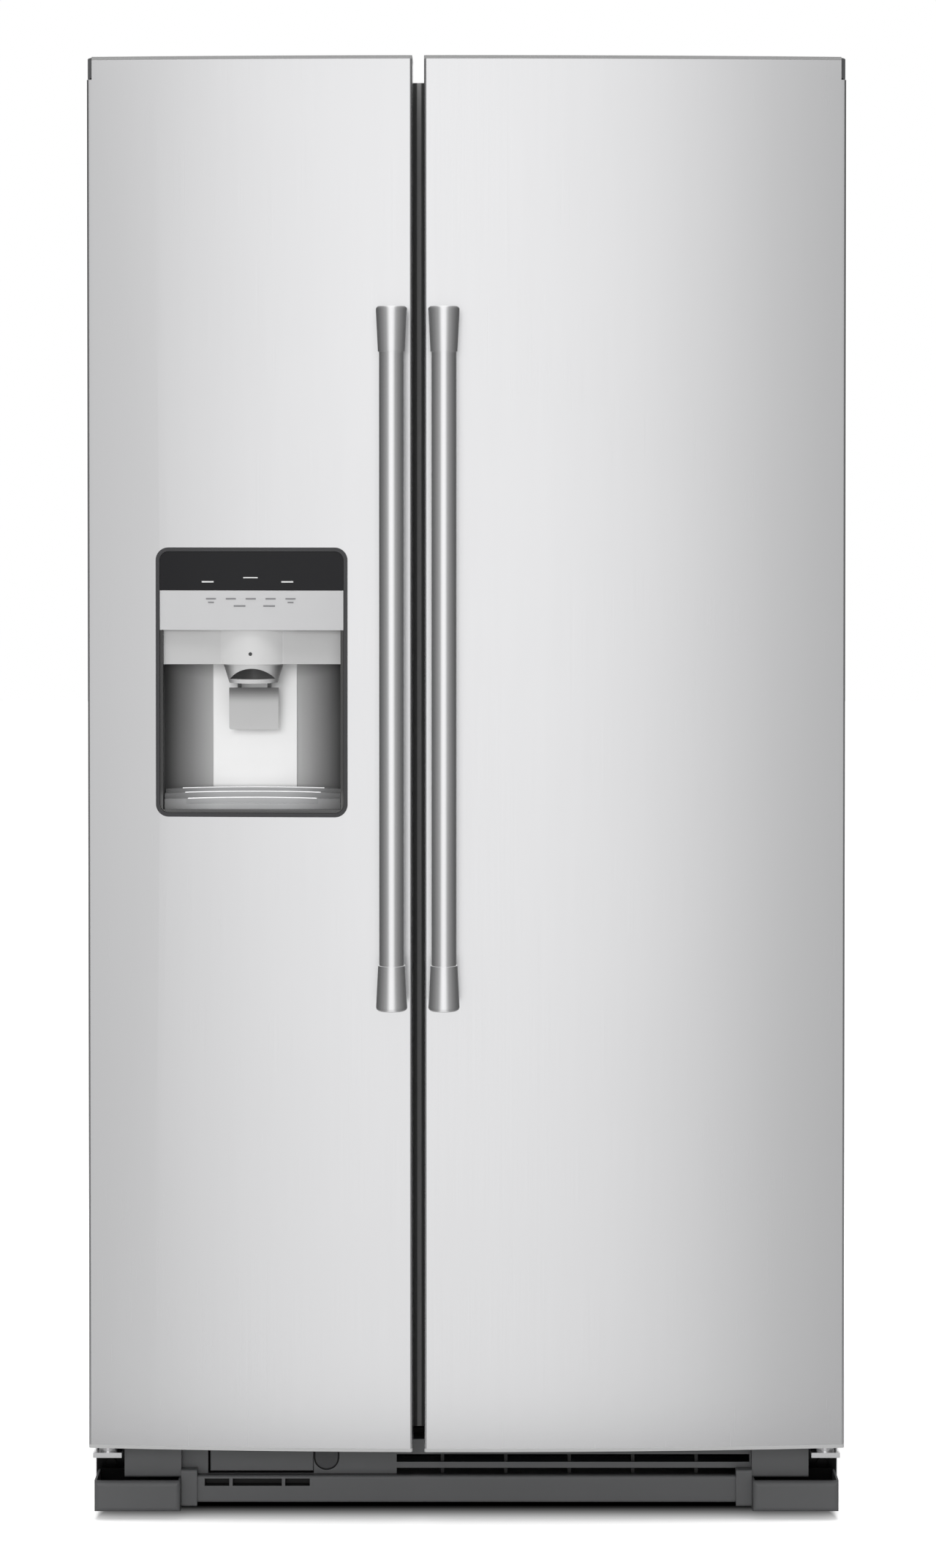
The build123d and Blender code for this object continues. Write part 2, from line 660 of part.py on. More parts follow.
def handle_bar(door):
    """Round bar between the two handle ends."""
    with BuildPart() as bar:
        start = (door.handle_x, HANDLE_Y, HANDLE_BOTTOM + SOCKET_DEPTH)
        rod(start, HANDLE_BAR_RADIUS, HANDLE_TOP - HANDLE_BOTTOM - 2 * SOCKET_DEPTH, "Z")
    return bar.part


def handle_ends(door):
    """Flared handle ends, each with a post to the door front."""
    plan = door_outline(door, 0.0, DOOR_BACK_Y)
    mouth = HANDLE_BAR_RADIUS + (HANDLE_END_RADIUS - HANDLE_BAR_RADIUS) / 3
    post = front_at(door.handle_x) - HANDLE_Y + HANDLE_POST_RADIUS
    half = HANDLE_END_LENGTH / 2
    with BuildPart() as ends:
        with Locations((door.handle_x, HANDLE_Y, HANDLE_TOP - half)):
            Cone(mouth, HANDLE_END_RADIUS, HANDLE_END_LENGTH)
        with Locations((door.handle_x, HANDLE_Y, HANDLE_BOTTOM + half)):
            Cone(HANDLE_END_RADIUS, mouth, HANDLE_END_LENGTH)
        rims = ends.edges().group_by(Axis.Z)
        fillet(rims[0] + rims[-1], HANDLE_END_ROUND)
        for z in (HANDLE_TOP - half, HANDLE_BOTTOM + half):
            rod((door.handle_x, HANDLE_Y, z), HANDLE_POST_RADIUS, post, "Y")
        with BuildSketch(Plane.XY.offset(HANDLE_BOTTOM)):
            add(plan)
        extrude(amount=HANDLE_TOP - HANDLE_BOTTOM, mode=Mode.SUBTRACT)
        start = (door.handle_x, HANDLE_Y, HANDLE_BOTTOM + SOCKET_DEPTH)
        length = HANDLE_TOP - HANDLE_BOTTOM - 2 * SOCKET_DEPTH
        rod(start, HANDLE_BAR_RADIUS + HANDLE_FIT, length, "Z", Mode.SUBTRACT)
    return ends.part


def bin_space(door):
    """Limits on X between the raised sides of a door's liner, less the fit."""
    margin = DIKE_CLEARANCE + DIKE_WIDTH + BIN_FIT
    return (door.opening[0] + margin, door.opening[1] - margin)


def open_box(x, y, z, wall):
    """Box with an open top and rounded upright corners."""
    layers = ((0.0, z[0], Mode.ADD), (wall, z[0] + wall, Mode.SUBTRACT))
    for inset, low, mode in layers:
        width = x[1] - x[0] - 2 * inset
        depth = y[1] - y[0] - 2 * inset
        with BuildSketch(Plane.XY.offset(low)) as plan:
            with Locations((sum(x) / 2, sum(y) / 2)):
                RectangleRounded(width, depth, LINER_RADIUS - inset)
        extrude(plan.sketch, amount=z[1] - low, mode=mode)


BIN_Y = (DOOR_BACK_Y, DOOR_BACK_Y + BIN_DEPTH)
TOP_BIN = OPEN_TOP - TOP_BIN_DROP
MIDDLE_BIN = (BULGE_TOP + TOP_BIN - BIN_HEIGHT) / 2
UPPER_BINS = (MIDDLE_BIN, TOP_BIN)


def door_bins(door, levels):
    """Open bins held between the sides of the raised frame."""
    with BuildPart() as bins:
        for low in levels:
            open_box(bin_space(door), BIN_Y, (low, low + BIN_HEIGHT), BIN_WALL)
        if door is FRIDGE:
            dairy_box()
    return bins.part


DAIRY_BOTTOM = OPEN_TOP - DAIRY_DROP
DAIRY_TOP = DAIRY_BOTTOM + DAIRY_HEIGHT
DAIRY_PIVOT = (BIN_Y[1] - DAIRY_PIVOT_DROP, DAIRY_TOP - DAIRY_PIVOT_DROP)


def dairy_box():
    """Closed shelf for butter, open towards the compartment."""
    x = bin_space(FRIDGE)
    block(x, BIN_Y, (DAIRY_BOTTOM, DAIRY_TOP))
    across = inside(x, BIN_WALL)
    y = (BIN_Y[0] + BIN_WALL, BIN_Y[1] + BIN_WALL)
    block(across, y, (DAIRY_BOTTOM + BIN_WALL, DAIRY_TOP - BIN_WALL), Mode.SUBTRACT)
    swing = DAIRY_PIVOT_DROP + DAIRY_COVER
    swing_z = (DAIRY_BOTTOM + BIN_WALL, DAIRY_TOP + OVERCUT)
    block(across, (DAIRY_PIVOT[0] - swing, y[1]), swing_z, Mode.SUBTRACT)
    pin = AXLE_RADIUS + AXLE_CLEARANCE
    rod((x[0], *DAIRY_PIVOT), pin, x[1] - x[0], "X", Mode.SUBTRACT)


for door, levels in ((FREEZER, FREEZER_BINS + UPPER_BINS), (FRIDGE, FRIDGE_BINS)):
    save(door_skin(door), f"{door.name}_door_skin")
    save(door_caps(door), f"{door.name}_door_caps")
    save(door_foam(door), f"{door.name}_door_foam")
    save(door_liner(door), f"{door.name}_door_liner")
    save(door_gasket(door), f"{door.name}_door_gasket")
    save(handle_bar(door), f"{door.name}_handle_bar")
    save(handle_ends(door), f"{door.name}_handle_ends")
    save(door_bins(door, levels), f"{door.name}_door_bins")

# Cover that hangs over the front of the butter shelf on two stub pins
with BuildPart() as dairy_cover:
    dairy_x = bin_space(FRIDGE)
    cover_x = inside(dairy_x, BIN_WALL + DAIRY_COVER_GAP)
    cover_y = (DAIRY_PIVOT[0], DAIRY_PIVOT[0] + DAIRY_COVER)
    block(cover_x, cover_y, (DAIRY_BOTTOM + BIN_WALL + DAIRY_COVER_GAP, DAIRY_PIVOT[1]))
    rod((dairy_x[0], *DAIRY_PIVOT), AXLE_RADIUS, dairy_x[1] - dairy_x[0], "X")
save(dairy_cover.part, "dairy_cover")


def front_slab(thickness, proud, grow):
    """Plan of a plate that follows the crowned front across the dispenser hole."""
    left = DISPENSER_X - HOLE_HALF + PANEL_GAP - grow
    right = DISPENSER_X + HOLE_HALF - PANEL_GAP + grow
    inner = proud - thickness
    with BuildSketch() as plan:
        with BuildLine():
            ThreePointArc(*[(x, front_at(x, proud)) for x in (left, DISPENSER_X, right)])
            Line((right, front_at(right, proud)), (right, front_at(right, inner)))
            ThreePointArc(*[(x, front_at(x, inner)) for x in (right, DISPENSER_X, left)])
            Line((left, front_at(left, inner)), (left, front_at(left, proud)))
        make_face()
    return plan.sketch


PANEL_PROUD = TRIM_PROUD / 2
panel_plan = front_slab(PANEL_THICKNESS, PANEL_PROUD, 0.0)
AHEAD = 2 * HOUSING_DEPTH
panel_floor = front_slab(AHEAD, AHEAD + PANEL_PROUD - PANEL_THICKNESS, OVERCUT)
rim_floor = front_slab(AHEAD, AHEAD, OVERCUT)

# Ring around the dispenser, seated on the door skin
with BuildPart() as dispenser_trim:
    ring_centre = (DISPENSER_X, (DISPENSER_TOP + DISPENSER_BOTTOM) / 2)
    with BuildSketch(Plane.XZ.offset(-DOOR_BACK_Y)):
        with Locations(ring_centre):
            RectangleRounded(DISPENSER_WIDTH, DISPENSER_TOP - DISPENSER_BOTTOM, DISPENSER_RADIUS)
    extrude(amount=HOUSING_DEPTH)
    dispenser_hole(0.0, Mode.SUBTRACT)
    with BuildSketch(Plane.XY.offset(DISPENSER_BOTTOM)):
        with Locations((0, CROWN_CENTRE_Y)):
            Circle(CROWN_RADIUS + TRIM_PROUD)
            Circle(CROWN_RADIUS, mode=Mode.SUBTRACT)
    extrude(amount=DISPENSER_TOP - DISPENSER_BOTTOM, mode=Mode.INTERSECT)
save(dispenser_trim.part, "dispenser_trim")

# Black display with the two upper corners rounded
with BuildPart() as display_panel:
    with BuildSketch(Plane.XY.offset(KEYPAD_TOP)):
        add(panel_plan)
    extrude(amount=DISPLAY_HEIGHT - PANEL_GAP)
    upper = display_panel.edges().filter_by(Axis.Y, tolerance=5).group_by(Axis.Z)[-1]
    fillet(upper, DISPENSER_RADIUS - TRIM_WIDTH - PANEL_GAP)
save(display_panel.part, "display_panel")

# Keypad membrane strip
with BuildPart() as keypad_strip:
    with BuildSketch(Plane.XY.offset(KEYPAD_BOTTOM)):
        add(panel_plan)
    extrude(amount=KEYPAD_HEIGHT - PANEL_GAP)
save(keypad_strip.part, "keypad_strip")


def recess_plan(inset):
    """Plan of the dispenser recess: straight sides and a curved back."""
    half = RECESS_HALF - inset
    side_y = DISPENSER_FRONT_Y + RECESS_SIDE_DEPTH
    back_y = RECESS_BACK_Y - inset
    near_y = DISPENSER_FRONT_Y - HOUSING_DEPTH
    with BuildSketch() as plan:
        with BuildLine():
            Polyline(
                (DISPENSER_X - half, side_y),
                (DISPENSER_X - half, near_y),
                (DISPENSER_X + half, near_y),
                (DISPENSER_X + half, side_y),
            )
            ThreePointArc(
                (DISPENSER_X - half, side_y), (DISPENSER_X, back_y), (DISPENSER_X + half, side_y)
            )
        make_face()
    return plan.sketch


recess = recess_plan(0.0)
tray_space = recess_plan(TRAY_FIT)
SPLASH_Y = RECESS_BACK_Y - SPLASH_PROUD
SPLASH_X = (DISPENSER_X - SPLASH_WIDTH / 2, DISPENSER_X + SPLASH_WIDTH / 2)

# Housing: recess for the glass below, pocket for the controls above
with BuildPart() as dispenser_housing:
    dispenser_hole(PANEL_GAP, Mode.ADD)
    with BuildSketch(Plane.XY.offset(RECESS_BOTTOM)):
        add(recess)
    extrude(amount=KEYPAD_BOTTOM - RECESS_BOTTOM, mode=Mode.SUBTRACT)
    splash_y = (SPLASH_Y, RECESS_BACK_Y + HOUSING_WALL / 2)
    block(SPLASH_X, splash_y, (RECESS_BOTTOM - HOUSING_WALL / 2, VISOR_BOTTOM))
    pocket_x = (DISPENSER_X - RECESS_HALF, DISPENSER_X + RECESS_HALF)
    pocket_y = (DISPENSER_FRONT_Y - HOUSING_DEPTH, RECESS_BACK_Y)
    pocket_z = (KEYPAD_BOTTOM + HOUSING_WALL, HOLE_TOP - PANEL_GAP - HOUSING_WALL)
    block(pocket_x, pocket_y, pocket_z, Mode.SUBTRACT)
    with BuildSketch(Plane.XY.offset(KEYPAD_BOTTOM)):
        add(panel_floor)
    extrude(amount=HOLE_TOP - KEYPAD_BOTTOM, mode=Mode.SUBTRACT)
    with BuildSketch(Plane.XY.offset(HOLE_BOTTOM)):
        add(rim_floor)
    extrude(amount=KEYPAD_BOTTOM - HOLE_BOTTOM, mode=Mode.SUBTRACT)
    chute_slope(CHUTE_OUTER + CHUTE_FIT, CHUTE_OUTER, Mode.SUBTRACT)
save(dispenser_housing.part, "dispenser_housing")

# Visor across the top of the recess, with the drum, the chute and the lugs of the paddle
VISOR_Y = DISPENSER_FRONT_Y + VISOR_SETBACK
PADDLE_Y = CHUTE_Y + PADDLE_SETBACK
KNUCKLE_HALF = PADDLE_WIDTH / 4
LUG_HALF = KNUCKLE_HALF + LUG_GAP
LUG_REACH = 2 * AXLE_RADIUS


def drum_front():
    """Plan of the rounded front of the drum, ahead of the visor."""
    left = (DISPENSER_X - CHUTE_DRUM, VISOR_Y)
    right = (DISPENSER_X + CHUTE_DRUM, VISOR_Y)
    inner_y = VISOR_Y + VISOR_THICKNESS / 2
    with BuildSketch() as plan:
        with BuildLine():
            ThreePointArc(left, (DISPENSER_X, VISOR_Y - DRUM_RISE), right)
            Polyline(right, (right[0], inner_y), (left[0], inner_y), left)
        make_face()
    return plan.sketch


def nozzle_mouth():
    """Front view of the arched opening in the nozzle, above its rim."""
    left = (DISPENSER_X - MOUTH_HALF, NOZZLE_BOTTOM + NOZZLE_RIM)
    right = (DISPENSER_X + MOUTH_HALF, NOZZLE_BOTTOM + NOZZLE_RIM)
    with BuildSketch() as arch:
        with BuildLine():
            ThreePointArc(left, (DISPENSER_X, VISOR_BOTTOM - MOUTH_TOP_DROP), right)
            Line(right, left)
        make_face()
    return arch.sketch


drum_plan = drum_front()
mouth = nozzle_mouth()
with BuildPart() as ice_chute:
    visor_x = (DISPENSER_X - RECESS_HALF + PANEL_GAP, DISPENSER_X + RECESS_HALF - PANEL_GAP)
    block(visor_x, (VISOR_Y, VISOR_Y + VISOR_THICKNESS), (VISOR_BOTTOM, KEYPAD_BOTTOM))
    with BuildSketch(Plane.XY.offset(VISOR_BOTTOM)):
        add(drum_plan)
    extrude(amount=VISOR_HEIGHT)
    rod((DISPENSER_X, CHUTE_Y, VISOR_BOTTOM), CHUTE_DRUM, VISOR_HEIGHT, "Z")
    with Locations((DISPENSER_X, CHUTE_Y, (VISOR_BOTTOM + NOZZLE_BOTTOM) / 2)):
        Cone(CHUTE_OUTER, CHUTE_DRUM, NOZZLE_DROP)
    chute_path(CHUTE_OUTER, Mode.ADD)
    lug_z = (PADDLE_PIVOT_Z - LUG_REACH, VISOR_BOTTOM)
    lug_y = (PADDLE_Y - LUG_REACH, PADDLE_Y + LUG_REACH)
    for side in (-1, 1):
        lug_x = sorted((DISPENSER_X + side * LUG_HALF, DISPENSER_X + side * (LUG_HALF + LUG_WIDTH)))
        block(lug_x, lug_y, lug_z)
    flat_y = (SPLASH_Y - CHUTE_FIT, SPLASH_Y + CHUTE_DRUM)
    flat_z = (NOZZLE_BOTTOM - OVERCUT, VISOR_BOTTOM + CHUTE_FIT)
    block(visor_x, flat_y, flat_z, Mode.SUBTRACT)
    chute_path(CHUTE_BORE, Mode.SUBTRACT)
    with BuildSketch(Plane.XZ.offset(-CHUTE_Y)):
        add(mouth)
    extrude(amount=2 * CHUTE_DRUM, mode=Mode.SUBTRACT)
    pivot = (DISPENSER_X - LUG_HALF - LUG_WIDTH, PADDLE_Y, PADDLE_PIVOT_Z)
    pivot_length = 2 * (LUG_HALF + LUG_WIDTH)
    rod(pivot, AXLE_RADIUS + AXLE_CLEARANCE, pivot_length, "X", Mode.SUBTRACT)
    inlet_x = (DISPENSER_X - 2 * CHUTE_OUTER, DISPENSER_X + 2 * CHUTE_OUTER)
    inlet_z = (KEYPAD_BOTTOM, CHUTE_INLET_Z + 2 * CHUTE_OUTER)
    block(inlet_x, (BULGE_BACK_Y, BULGE_BACK_Y + 2 * CHUTE_OUTER), inlet_z, Mode.SUBTRACT)
save(ice_chute.part, "ice_chute")

# Paddle that a glass pushes back: a plate in front of the lugs and a knuckle on its axle
with BuildPart() as dispenser_paddle:
    plate_back = PADDLE_Y - LUG_REACH - PADDLE_GAP
    paddle_x = (DISPENSER_X - PADDLE_WIDTH / 2, DISPENSER_X + PADDLE_WIDTH / 2)
    paddle_z = (PADDLE_PIVOT_Z - PADDLE_HEIGHT, PADDLE_PIVOT_Z + LUG_REACH)
    block(paddle_x, (plate_back - PADDLE_THICKNESS, plate_back), paddle_z)
    foot = dispenser_paddle.edges().filter_by(Axis.Y).group_by(Axis.Z)[0]
    fillet(foot, PADDLE_ROUND)
    knuckle_x = (DISPENSER_X - KNUCKLE_HALF, DISPENSER_X + KNUCKLE_HALF)
    knuckle_z = (PADDLE_PIVOT_Z - KNUCKLE / 2, PADDLE_PIVOT_Z + KNUCKLE / 2)
    block(knuckle_x, (plate_back - PADDLE_THICKNESS / 2, PADDLE_Y), knuckle_z)
    rod(pivot, AXLE_RADIUS, pivot_length, "X")
save(dispenser_paddle.part, "dispenser_paddle")

# Drip tray: terraces that step down towards the front lip
TRAY_FRONT_Y = DISPENSER_FRONT_Y + HOUSING_WALL
with BuildPart() as drip_tray:
    with BuildSketch(Plane.XY.offset(RECESS_BOTTOM)):
        add(tray_space)
    extrude(amount=TRAY_HEIGHT)
    ahead = (TRAY_FRONT_Y - 2 * HOUSING_DEPTH, TRAY_FRONT_Y + DOOR_CROWN / 2)
    across = (DISPENSER_X - DISPENSER_WIDTH, DISPENSER_X + DISPENSER_WIDTH)
    block(across, ahead, (RECESS_BOTTOM, DISPENSER_TOP), Mode.SUBTRACT)
    behind_splash = (SPLASH_Y - TRAY_FIT, HOUSING_BACK_Y)
    splash_gap = (SPLASH_X[0] - TRAY_FIT, SPLASH_X[1] + TRAY_FIT)
    block(splash_gap, behind_splash, (RECESS_BOTTOM, DISPENSER_TOP), Mode.SUBTRACT)
    bowl_y = ahead[1] - DISPENSER_WIDTH
    for level, radius in enumerate((0.0, TRAY_STEP, 2 * TRAY_STEP)):
        floor = RECESS_BOTTOM + TRAY_LIP * (level + 1)
        reach = DISPENSER_WIDTH + TRAY_STEP + radius
        rod((DISPENSER_X, bowl_y, floor), reach, DISPENSER_TOP - floor, "Z", Mode.SUBTRACT)
save(drip_tray.part, "drip_tray")

BOTTOM_SCREW_X = SIDE_X - BOTTOM_SCREW_INSET
ARM_TOP = DOOR_BOTTOM - BOTTOM_ARM_DROP


def top_screw_places():
    """Axes of the top hinge screws, on both sides."""
    return [(side * (SIDE_X - x), FRONT_Y + y) for side in (-1, 1) for x, y in TOP_SCREWS]


def bottom_screw_places():
    """Axes of the bottom hinge screws, on both sides."""
    return [(side * BOTTOM_SCREW_X, z) for side in (-1, 1) for z in BOTTOM_SCREWS]


# Steel wrapper: two sides, a top and a front flange right round
with BuildPart() as cabinet_shell:
    shell_z = (SKIRT_BOTTOM, CABINET_TOP)
    block((-SIDE_X, SIDE_X), (FRONT_Y, REAR_FACE), shell_z)
    fillet(cabinet_shell.edges().filter_by(Axis.Y).group_by(Axis.Z)[-1], SHELL_RADIUS)
    behind = (FRONT_Y + FLANGE_THICKNESS, REAR_FACE)
    with BuildSketch(Plane.XZ.offset(-behind[0])) as hollow:
        with Locations((0, (SKIRT_BOTTOM + CABINET_TOP) / 2 - SHEET)):
            Rectangle(CABINET_WIDTH - 2 * SHEET, CABINET_TOP - SKIRT_BOTTOM)
        fillet(hollow.vertices().group_by(Axis.Y)[-1], SHELL_RADIUS - SHEET)
    extrude(amount=behind[0] - behind[1], mode=Mode.SUBTRACT)
    gap_x = (FLANGE_WIDTH - SIDE_X, SIDE_X - FLANGE_WIDTH)
    gap_z = (CABINET_BOTTOM + FLANGE_WIDTH, CABINET_TOP - FLANGE_WIDTH)
    front_sheet = (FRONT_Y, FRONT_Y + FLANGE_THICKNESS)
    block(gap_x, front_sheet, gap_z, Mode.SUBTRACT)
    block((-RAIL_OUTER, RAIL_OUTER), front_sheet, (SKIRT_BOTTOM, CABINET_BOTTOM), Mode.SUBTRACT)
    for x, y in top_screw_places():
        hole = SCREW_RADIUS + SCREW_CLEARANCE
        rod((x, y, CABINET_TOP - SHEET), hole, SHEET, "Z", Mode.SUBTRACT)
save(cabinet_shell.part, "cabinet_shell")

# Back sheet with pressed upright beads
with BuildPart() as rear_panel:
    panel_z = (BAY_TOP, CABINET_TOP)
    block((-SIDE_X, SIDE_X), (REAR_FACE, REAR_FACE + SHEET), panel_z)
    bead_height = panel_z[1] - panel_z[0] - 2 * BEAD_MARGIN
    with BuildSketch(Plane.XZ.offset(-REAR_FACE - SHEET)):
        with Locations((0, sum(panel_z) / 2)):
            with GridLocations((CABINET_WIDTH - 2 * BEAD_MARGIN) / (BEAD_COUNT - 1), 0, BEAD_COUNT, 1):
                SlotOverall(bead_height, BEAD_WIDTH, rotation=90)
    extrude(amount=-REAR_BEAD, taper=BEAD_TAPER)
save(rear_panel.part, "rear_panel")


def compartment(opening, grow, front_y, mode):
    """Space of a compartment, stepped over the machine bay, grown by a wall."""
    x = (opening[0] - grow, opening[1] + grow)
    top = OPEN_TOP + grow
    block(x, (front_y, STEP_Y + grow), (OPEN_BOTTOM - grow, top), mode)
    block(x, (front_y, LINER_BACK_Y + grow), (STEP_TOP - grow, top), mode)


# Insulation between the shell, the liners and the machine bay
with BuildPart() as cabinet_foam:
    foam_front = FRONT_Y + FLANGE_THICKNESS
    foam_x = (-RAIL_OUTER, RAIL_OUTER)
    block(foam_x, (foam_front, REAR_FACE), (FOAM_BOTTOM, CABINET_TOP - SHEET))
    fillet(cabinet_foam.edges().filter_by(Axis.Y).group_by(Axis.Z)[-1], SHELL_RADIUS - SHEET)
    for opening in (FREEZER_OPEN, FRIDGE_OPEN):
        compartment(opening, LINER_WALL, foam_front, Mode.SUBTRACT)
    bay_z = (FOAM_BOTTOM, BAY_TOP + PAN_SHEET)
    block(foam_x, (BAY_FRONT_Y - PAN_SHEET, REAR_FACE), bay_z, Mode.SUBTRACT)
save(cabinet_foam.part, "cabinet_foam")


def shelf_ledges(opening, levels, thickness):
    """Moulded ledges on both side walls, one pair under each shelf."""
    y = (FRONT_Y + SHELF_FRONT, LINER_BACK_Y - EVAPORATOR_GAP)
    for top in levels:
        z = (top - thickness - LEDGE_HEIGHT, top - thickness)
        block((opening[0], opening[0] + LEDGE_WIDTH), y, z)
        block((opening[1] - LEDGE_WIDTH, opening[1]), y, z)


DRAWER_Y = FRONT_Y + DRAWER_FRONT
RUNNER_Y = (DRAWER_Y, STEP_Y)


def basket_runners():
    """Moulded runners for the freezer basket, one on each side wall."""
    z = (RUNNER_BOTTOM, RUNNER_BOTTOM + RUNNER)
    block((FREEZER_OPEN[0], FREEZER_OPEN[0] + RUNNER_WIDTH), RUNNER_Y, z)
    block((FREEZER_OPEN[1] - RUNNER_WIDTH, FREEZER_OPEN[1]), RUNNER_Y, z)


def cabinet_liner(opening, strip_side, levels, thickness):
    """Moulded inner box of a compartment with a front rim and shelf ledges."""
    with BuildPart() as space:
        compartment(opening, 0.0, FRONT_Y, Mode.ADD)
        inner_edges = space.edges().filter_by(lambda e: e.center().Y > FRONT_Y + OVERCUT)
        corners = inner_edges.filter_by(Axis.Y) + inner_edges.group_by(Axis.Y)[-1]
        fillet(corners, LINER_RADIUS)
    rim = SIDE_WALL - FLANGE_WIDTH
    rims = (rim, STRIP_MARGIN) if strip_side > 0 else (STRIP_MARGIN, rim)
    rim_x = (opening[0] - rims[0], opening[1] + rims[1])
    rim_z = (CABINET_BOTTOM + FLANGE_WIDTH, CABINET_TOP - FLANGE_WIDTH)
    with BuildPart() as liner:
        compartment(opening, LINER_WALL, FRONT_Y, Mode.ADD)
        block(rim_x, (FRONT_Y, FRONT_Y + FLANGE_THICKNESS), rim_z)
        add(space.part, mode=Mode.SUBTRACT)
        shelf_ledges(opening, levels, thickness)
        if opening is FREEZER_OPEN:
            basket_runners()
    return liner.part


save(cabinet_liner(FREEZER_OPEN, 1, FREEZER_LEVELS, FREEZER_SHELF), "freezer_liner")
save(cabinet_liner(FRIDGE_OPEN, -1, FRIDGE_SHELVES, SHELF_HEIGHT), "fridge_liner")

# Steel strip between the compartments, which both gaskets close on
with BuildPart() as mullion_strip:
    strip_x = (FREEZER_OPEN[1] + STRIP_MARGIN, FRIDGE_OPEN[0] - STRIP_MARGIN)
    strip_z = (CABINET_BOTTOM + FLANGE_WIDTH, CABINET_TOP - FLANGE_WIDTH)
    block(strip_x, (FRONT_Y, FRONT_Y + FLANGE_THICKNESS), strip_z)
save(mullion_strip.part, "mullion_strip")

# Chassis sheets, riveted: deck with bay walls, bay floor, side rails and front cross member
FILTER_X = (FILTER_LEFT + FILTER_RIGHT) / 2
SLEEVE_RADIUS = FILTER_RADIUS + FILTER_FIT + FILTER_SLEEVE
LEG_Y = FRONT_Y + LEG_SETBACK
LEG_X = RAIL_OUTER - RAIL_WIDTH / 2
ROLLER_Y = REAR_FACE - ROLLER_SETBACK
AXLE_HOLE = ROLLER_AXLE + AXLE_CLEARANCE
with BuildPart() as chassis_deck:
    block(foam_x, (foam_front, BAY_FRONT_Y), (CABINET_BOTTOM, FOAM_BOTTOM))
    block(foam_x, (BAY_FRONT_Y - PAN_SHEET, BAY_FRONT_Y), (CABINET_BOTTOM, BAY_TOP + PAN_SHEET))
    block(foam_x, (BAY_FRONT_Y - PAN_SHEET, REAR_FACE), (BAY_TOP, BAY_TOP + PAN_SHEET))
    for side in (-1, 1):
        bay_side = mirrored(side, RAIL_OUTER - PAN_SHEET, RAIL_OUTER)
        block(bay_side, (BAY_FRONT_Y, REAR_FACE), (CABINET_BOTTOM, BAY_TOP))
with BuildPart() as bay_floor:
    block((-RAIL_INNER, RAIL_INNER), (BAY_FRONT_Y, REAR_FACE), (PAN_BOTTOM, PAN_TOP))
with BuildPart() as side_rails:
    for side in (-1, 1):
        for near in (RAIL_INNER, RAIL_OUTER - PAN_SHEET):
            cheek = mirrored(side, near, near + PAN_SHEET)
            block(cheek, (FRONT_Y + PAN_SHEET, REAR_FACE), (PAN_BOTTOM, CABINET_BOTTOM))
            ear_y = (ROLLER_Y - ROLLER_EAR, ROLLER_Y + ROLLER_EAR)
            block(cheek, ear_y, (ROLLER_RADIUS - 2 * ROLLER_AXLE, PAN_TOP))
        tab_y = (LEG_Y - LEG_PAD_RADIUS, LEG_Y + LEG_PAD_RADIUS)
        block(mirrored(side, RAIL_INNER, RAIL_OUTER), tab_y, (PAN_BOTTOM, PAN_TOP))
        stem = LEG_STEM_RADIUS + LEG_CLEARANCE
        rod((side * LEG_X, LEG_Y, PAN_BOTTOM), stem, PAN_SHEET, "Z", Mode.SUBTRACT)
    rod((-SIDE_X, ROLLER_Y, ROLLER_RADIUS), AXLE_HOLE, CABINET_WIDTH, "X", Mode.SUBTRACT)
with BuildPart() as front_member:
    member_y = (FRONT_Y, FRONT_Y + PAN_SHEET)
    block((-RAIL_OUTER, RAIL_OUTER), member_y, (PAN_BOTTOM, CABINET_BOTTOM - PAN_SHEET))
    filter_end = (FILTER_X, FRONT_Y, FILTER_AXIS_Z)
    rod(filter_end, FILTER_RADIUS + FILTER_FIT, PAN_SHEET, "Y", Mode.SUBTRACT)
    block((LOUVRE_LEFT, LOUVRE_RIGHT), member_y, (LOUVRE_BOTTOM, LOUVRE_TOP), Mode.SUBTRACT)
    for x, z in bottom_screw_places():
        hole = SCREW_RADIUS + SCREW_CLEARANCE
        rod((x, FRONT_Y, z), hole, PAN_SHEET, "Y", Mode.SUBTRACT)
chassis = (chassis_deck, bay_floor, side_rails, front_member)
save(Compound([solid for sheet in chassis for solid in sheet.part.solids()]), "base_pan")

# Top hinges: a plate on the cabinet, a neck over the door and a pin down into it
with BuildPart() as top_hinges:
    for side in (-1, 1):
        plate_z = (CABINET_TOP, CABINET_TOP + HINGE_PLATE)
        pin_x = side * PIN_X
        plate_x = mirrored(side, SIDE_X - HINGE_PLATE_WIDTH, SIDE_X - SHELL_RADIUS)
        block(plate_x, (FRONT_Y + HINGE_PLATE_SETBACK, FRONT_Y + HINGE_REACH), plate_z)
        block((pin_x - HINGE_NECK, pin_x + HINGE_NECK), (PIN_Y, FRONT_Y + HINGE_NECK), plate_z)
        rod((pin_x, PIN_Y, CABINET_TOP), HINGE_DISC, HINGE_PLATE, "Z")
        rod((pin_x, PIN_Y, CABINET_TOP - PIN_LENGTH), PIN_RADIUS, PIN_LENGTH, "Z")
    for x, y in top_screw_places():
        hole = SCREW_RADIUS + SCREW_CLEARANCE
        rod((x, y, CABINET_TOP), hole, HINGE_PLATE, "Z", Mode.SUBTRACT)
save(top_hinges.part, "top_hinges")

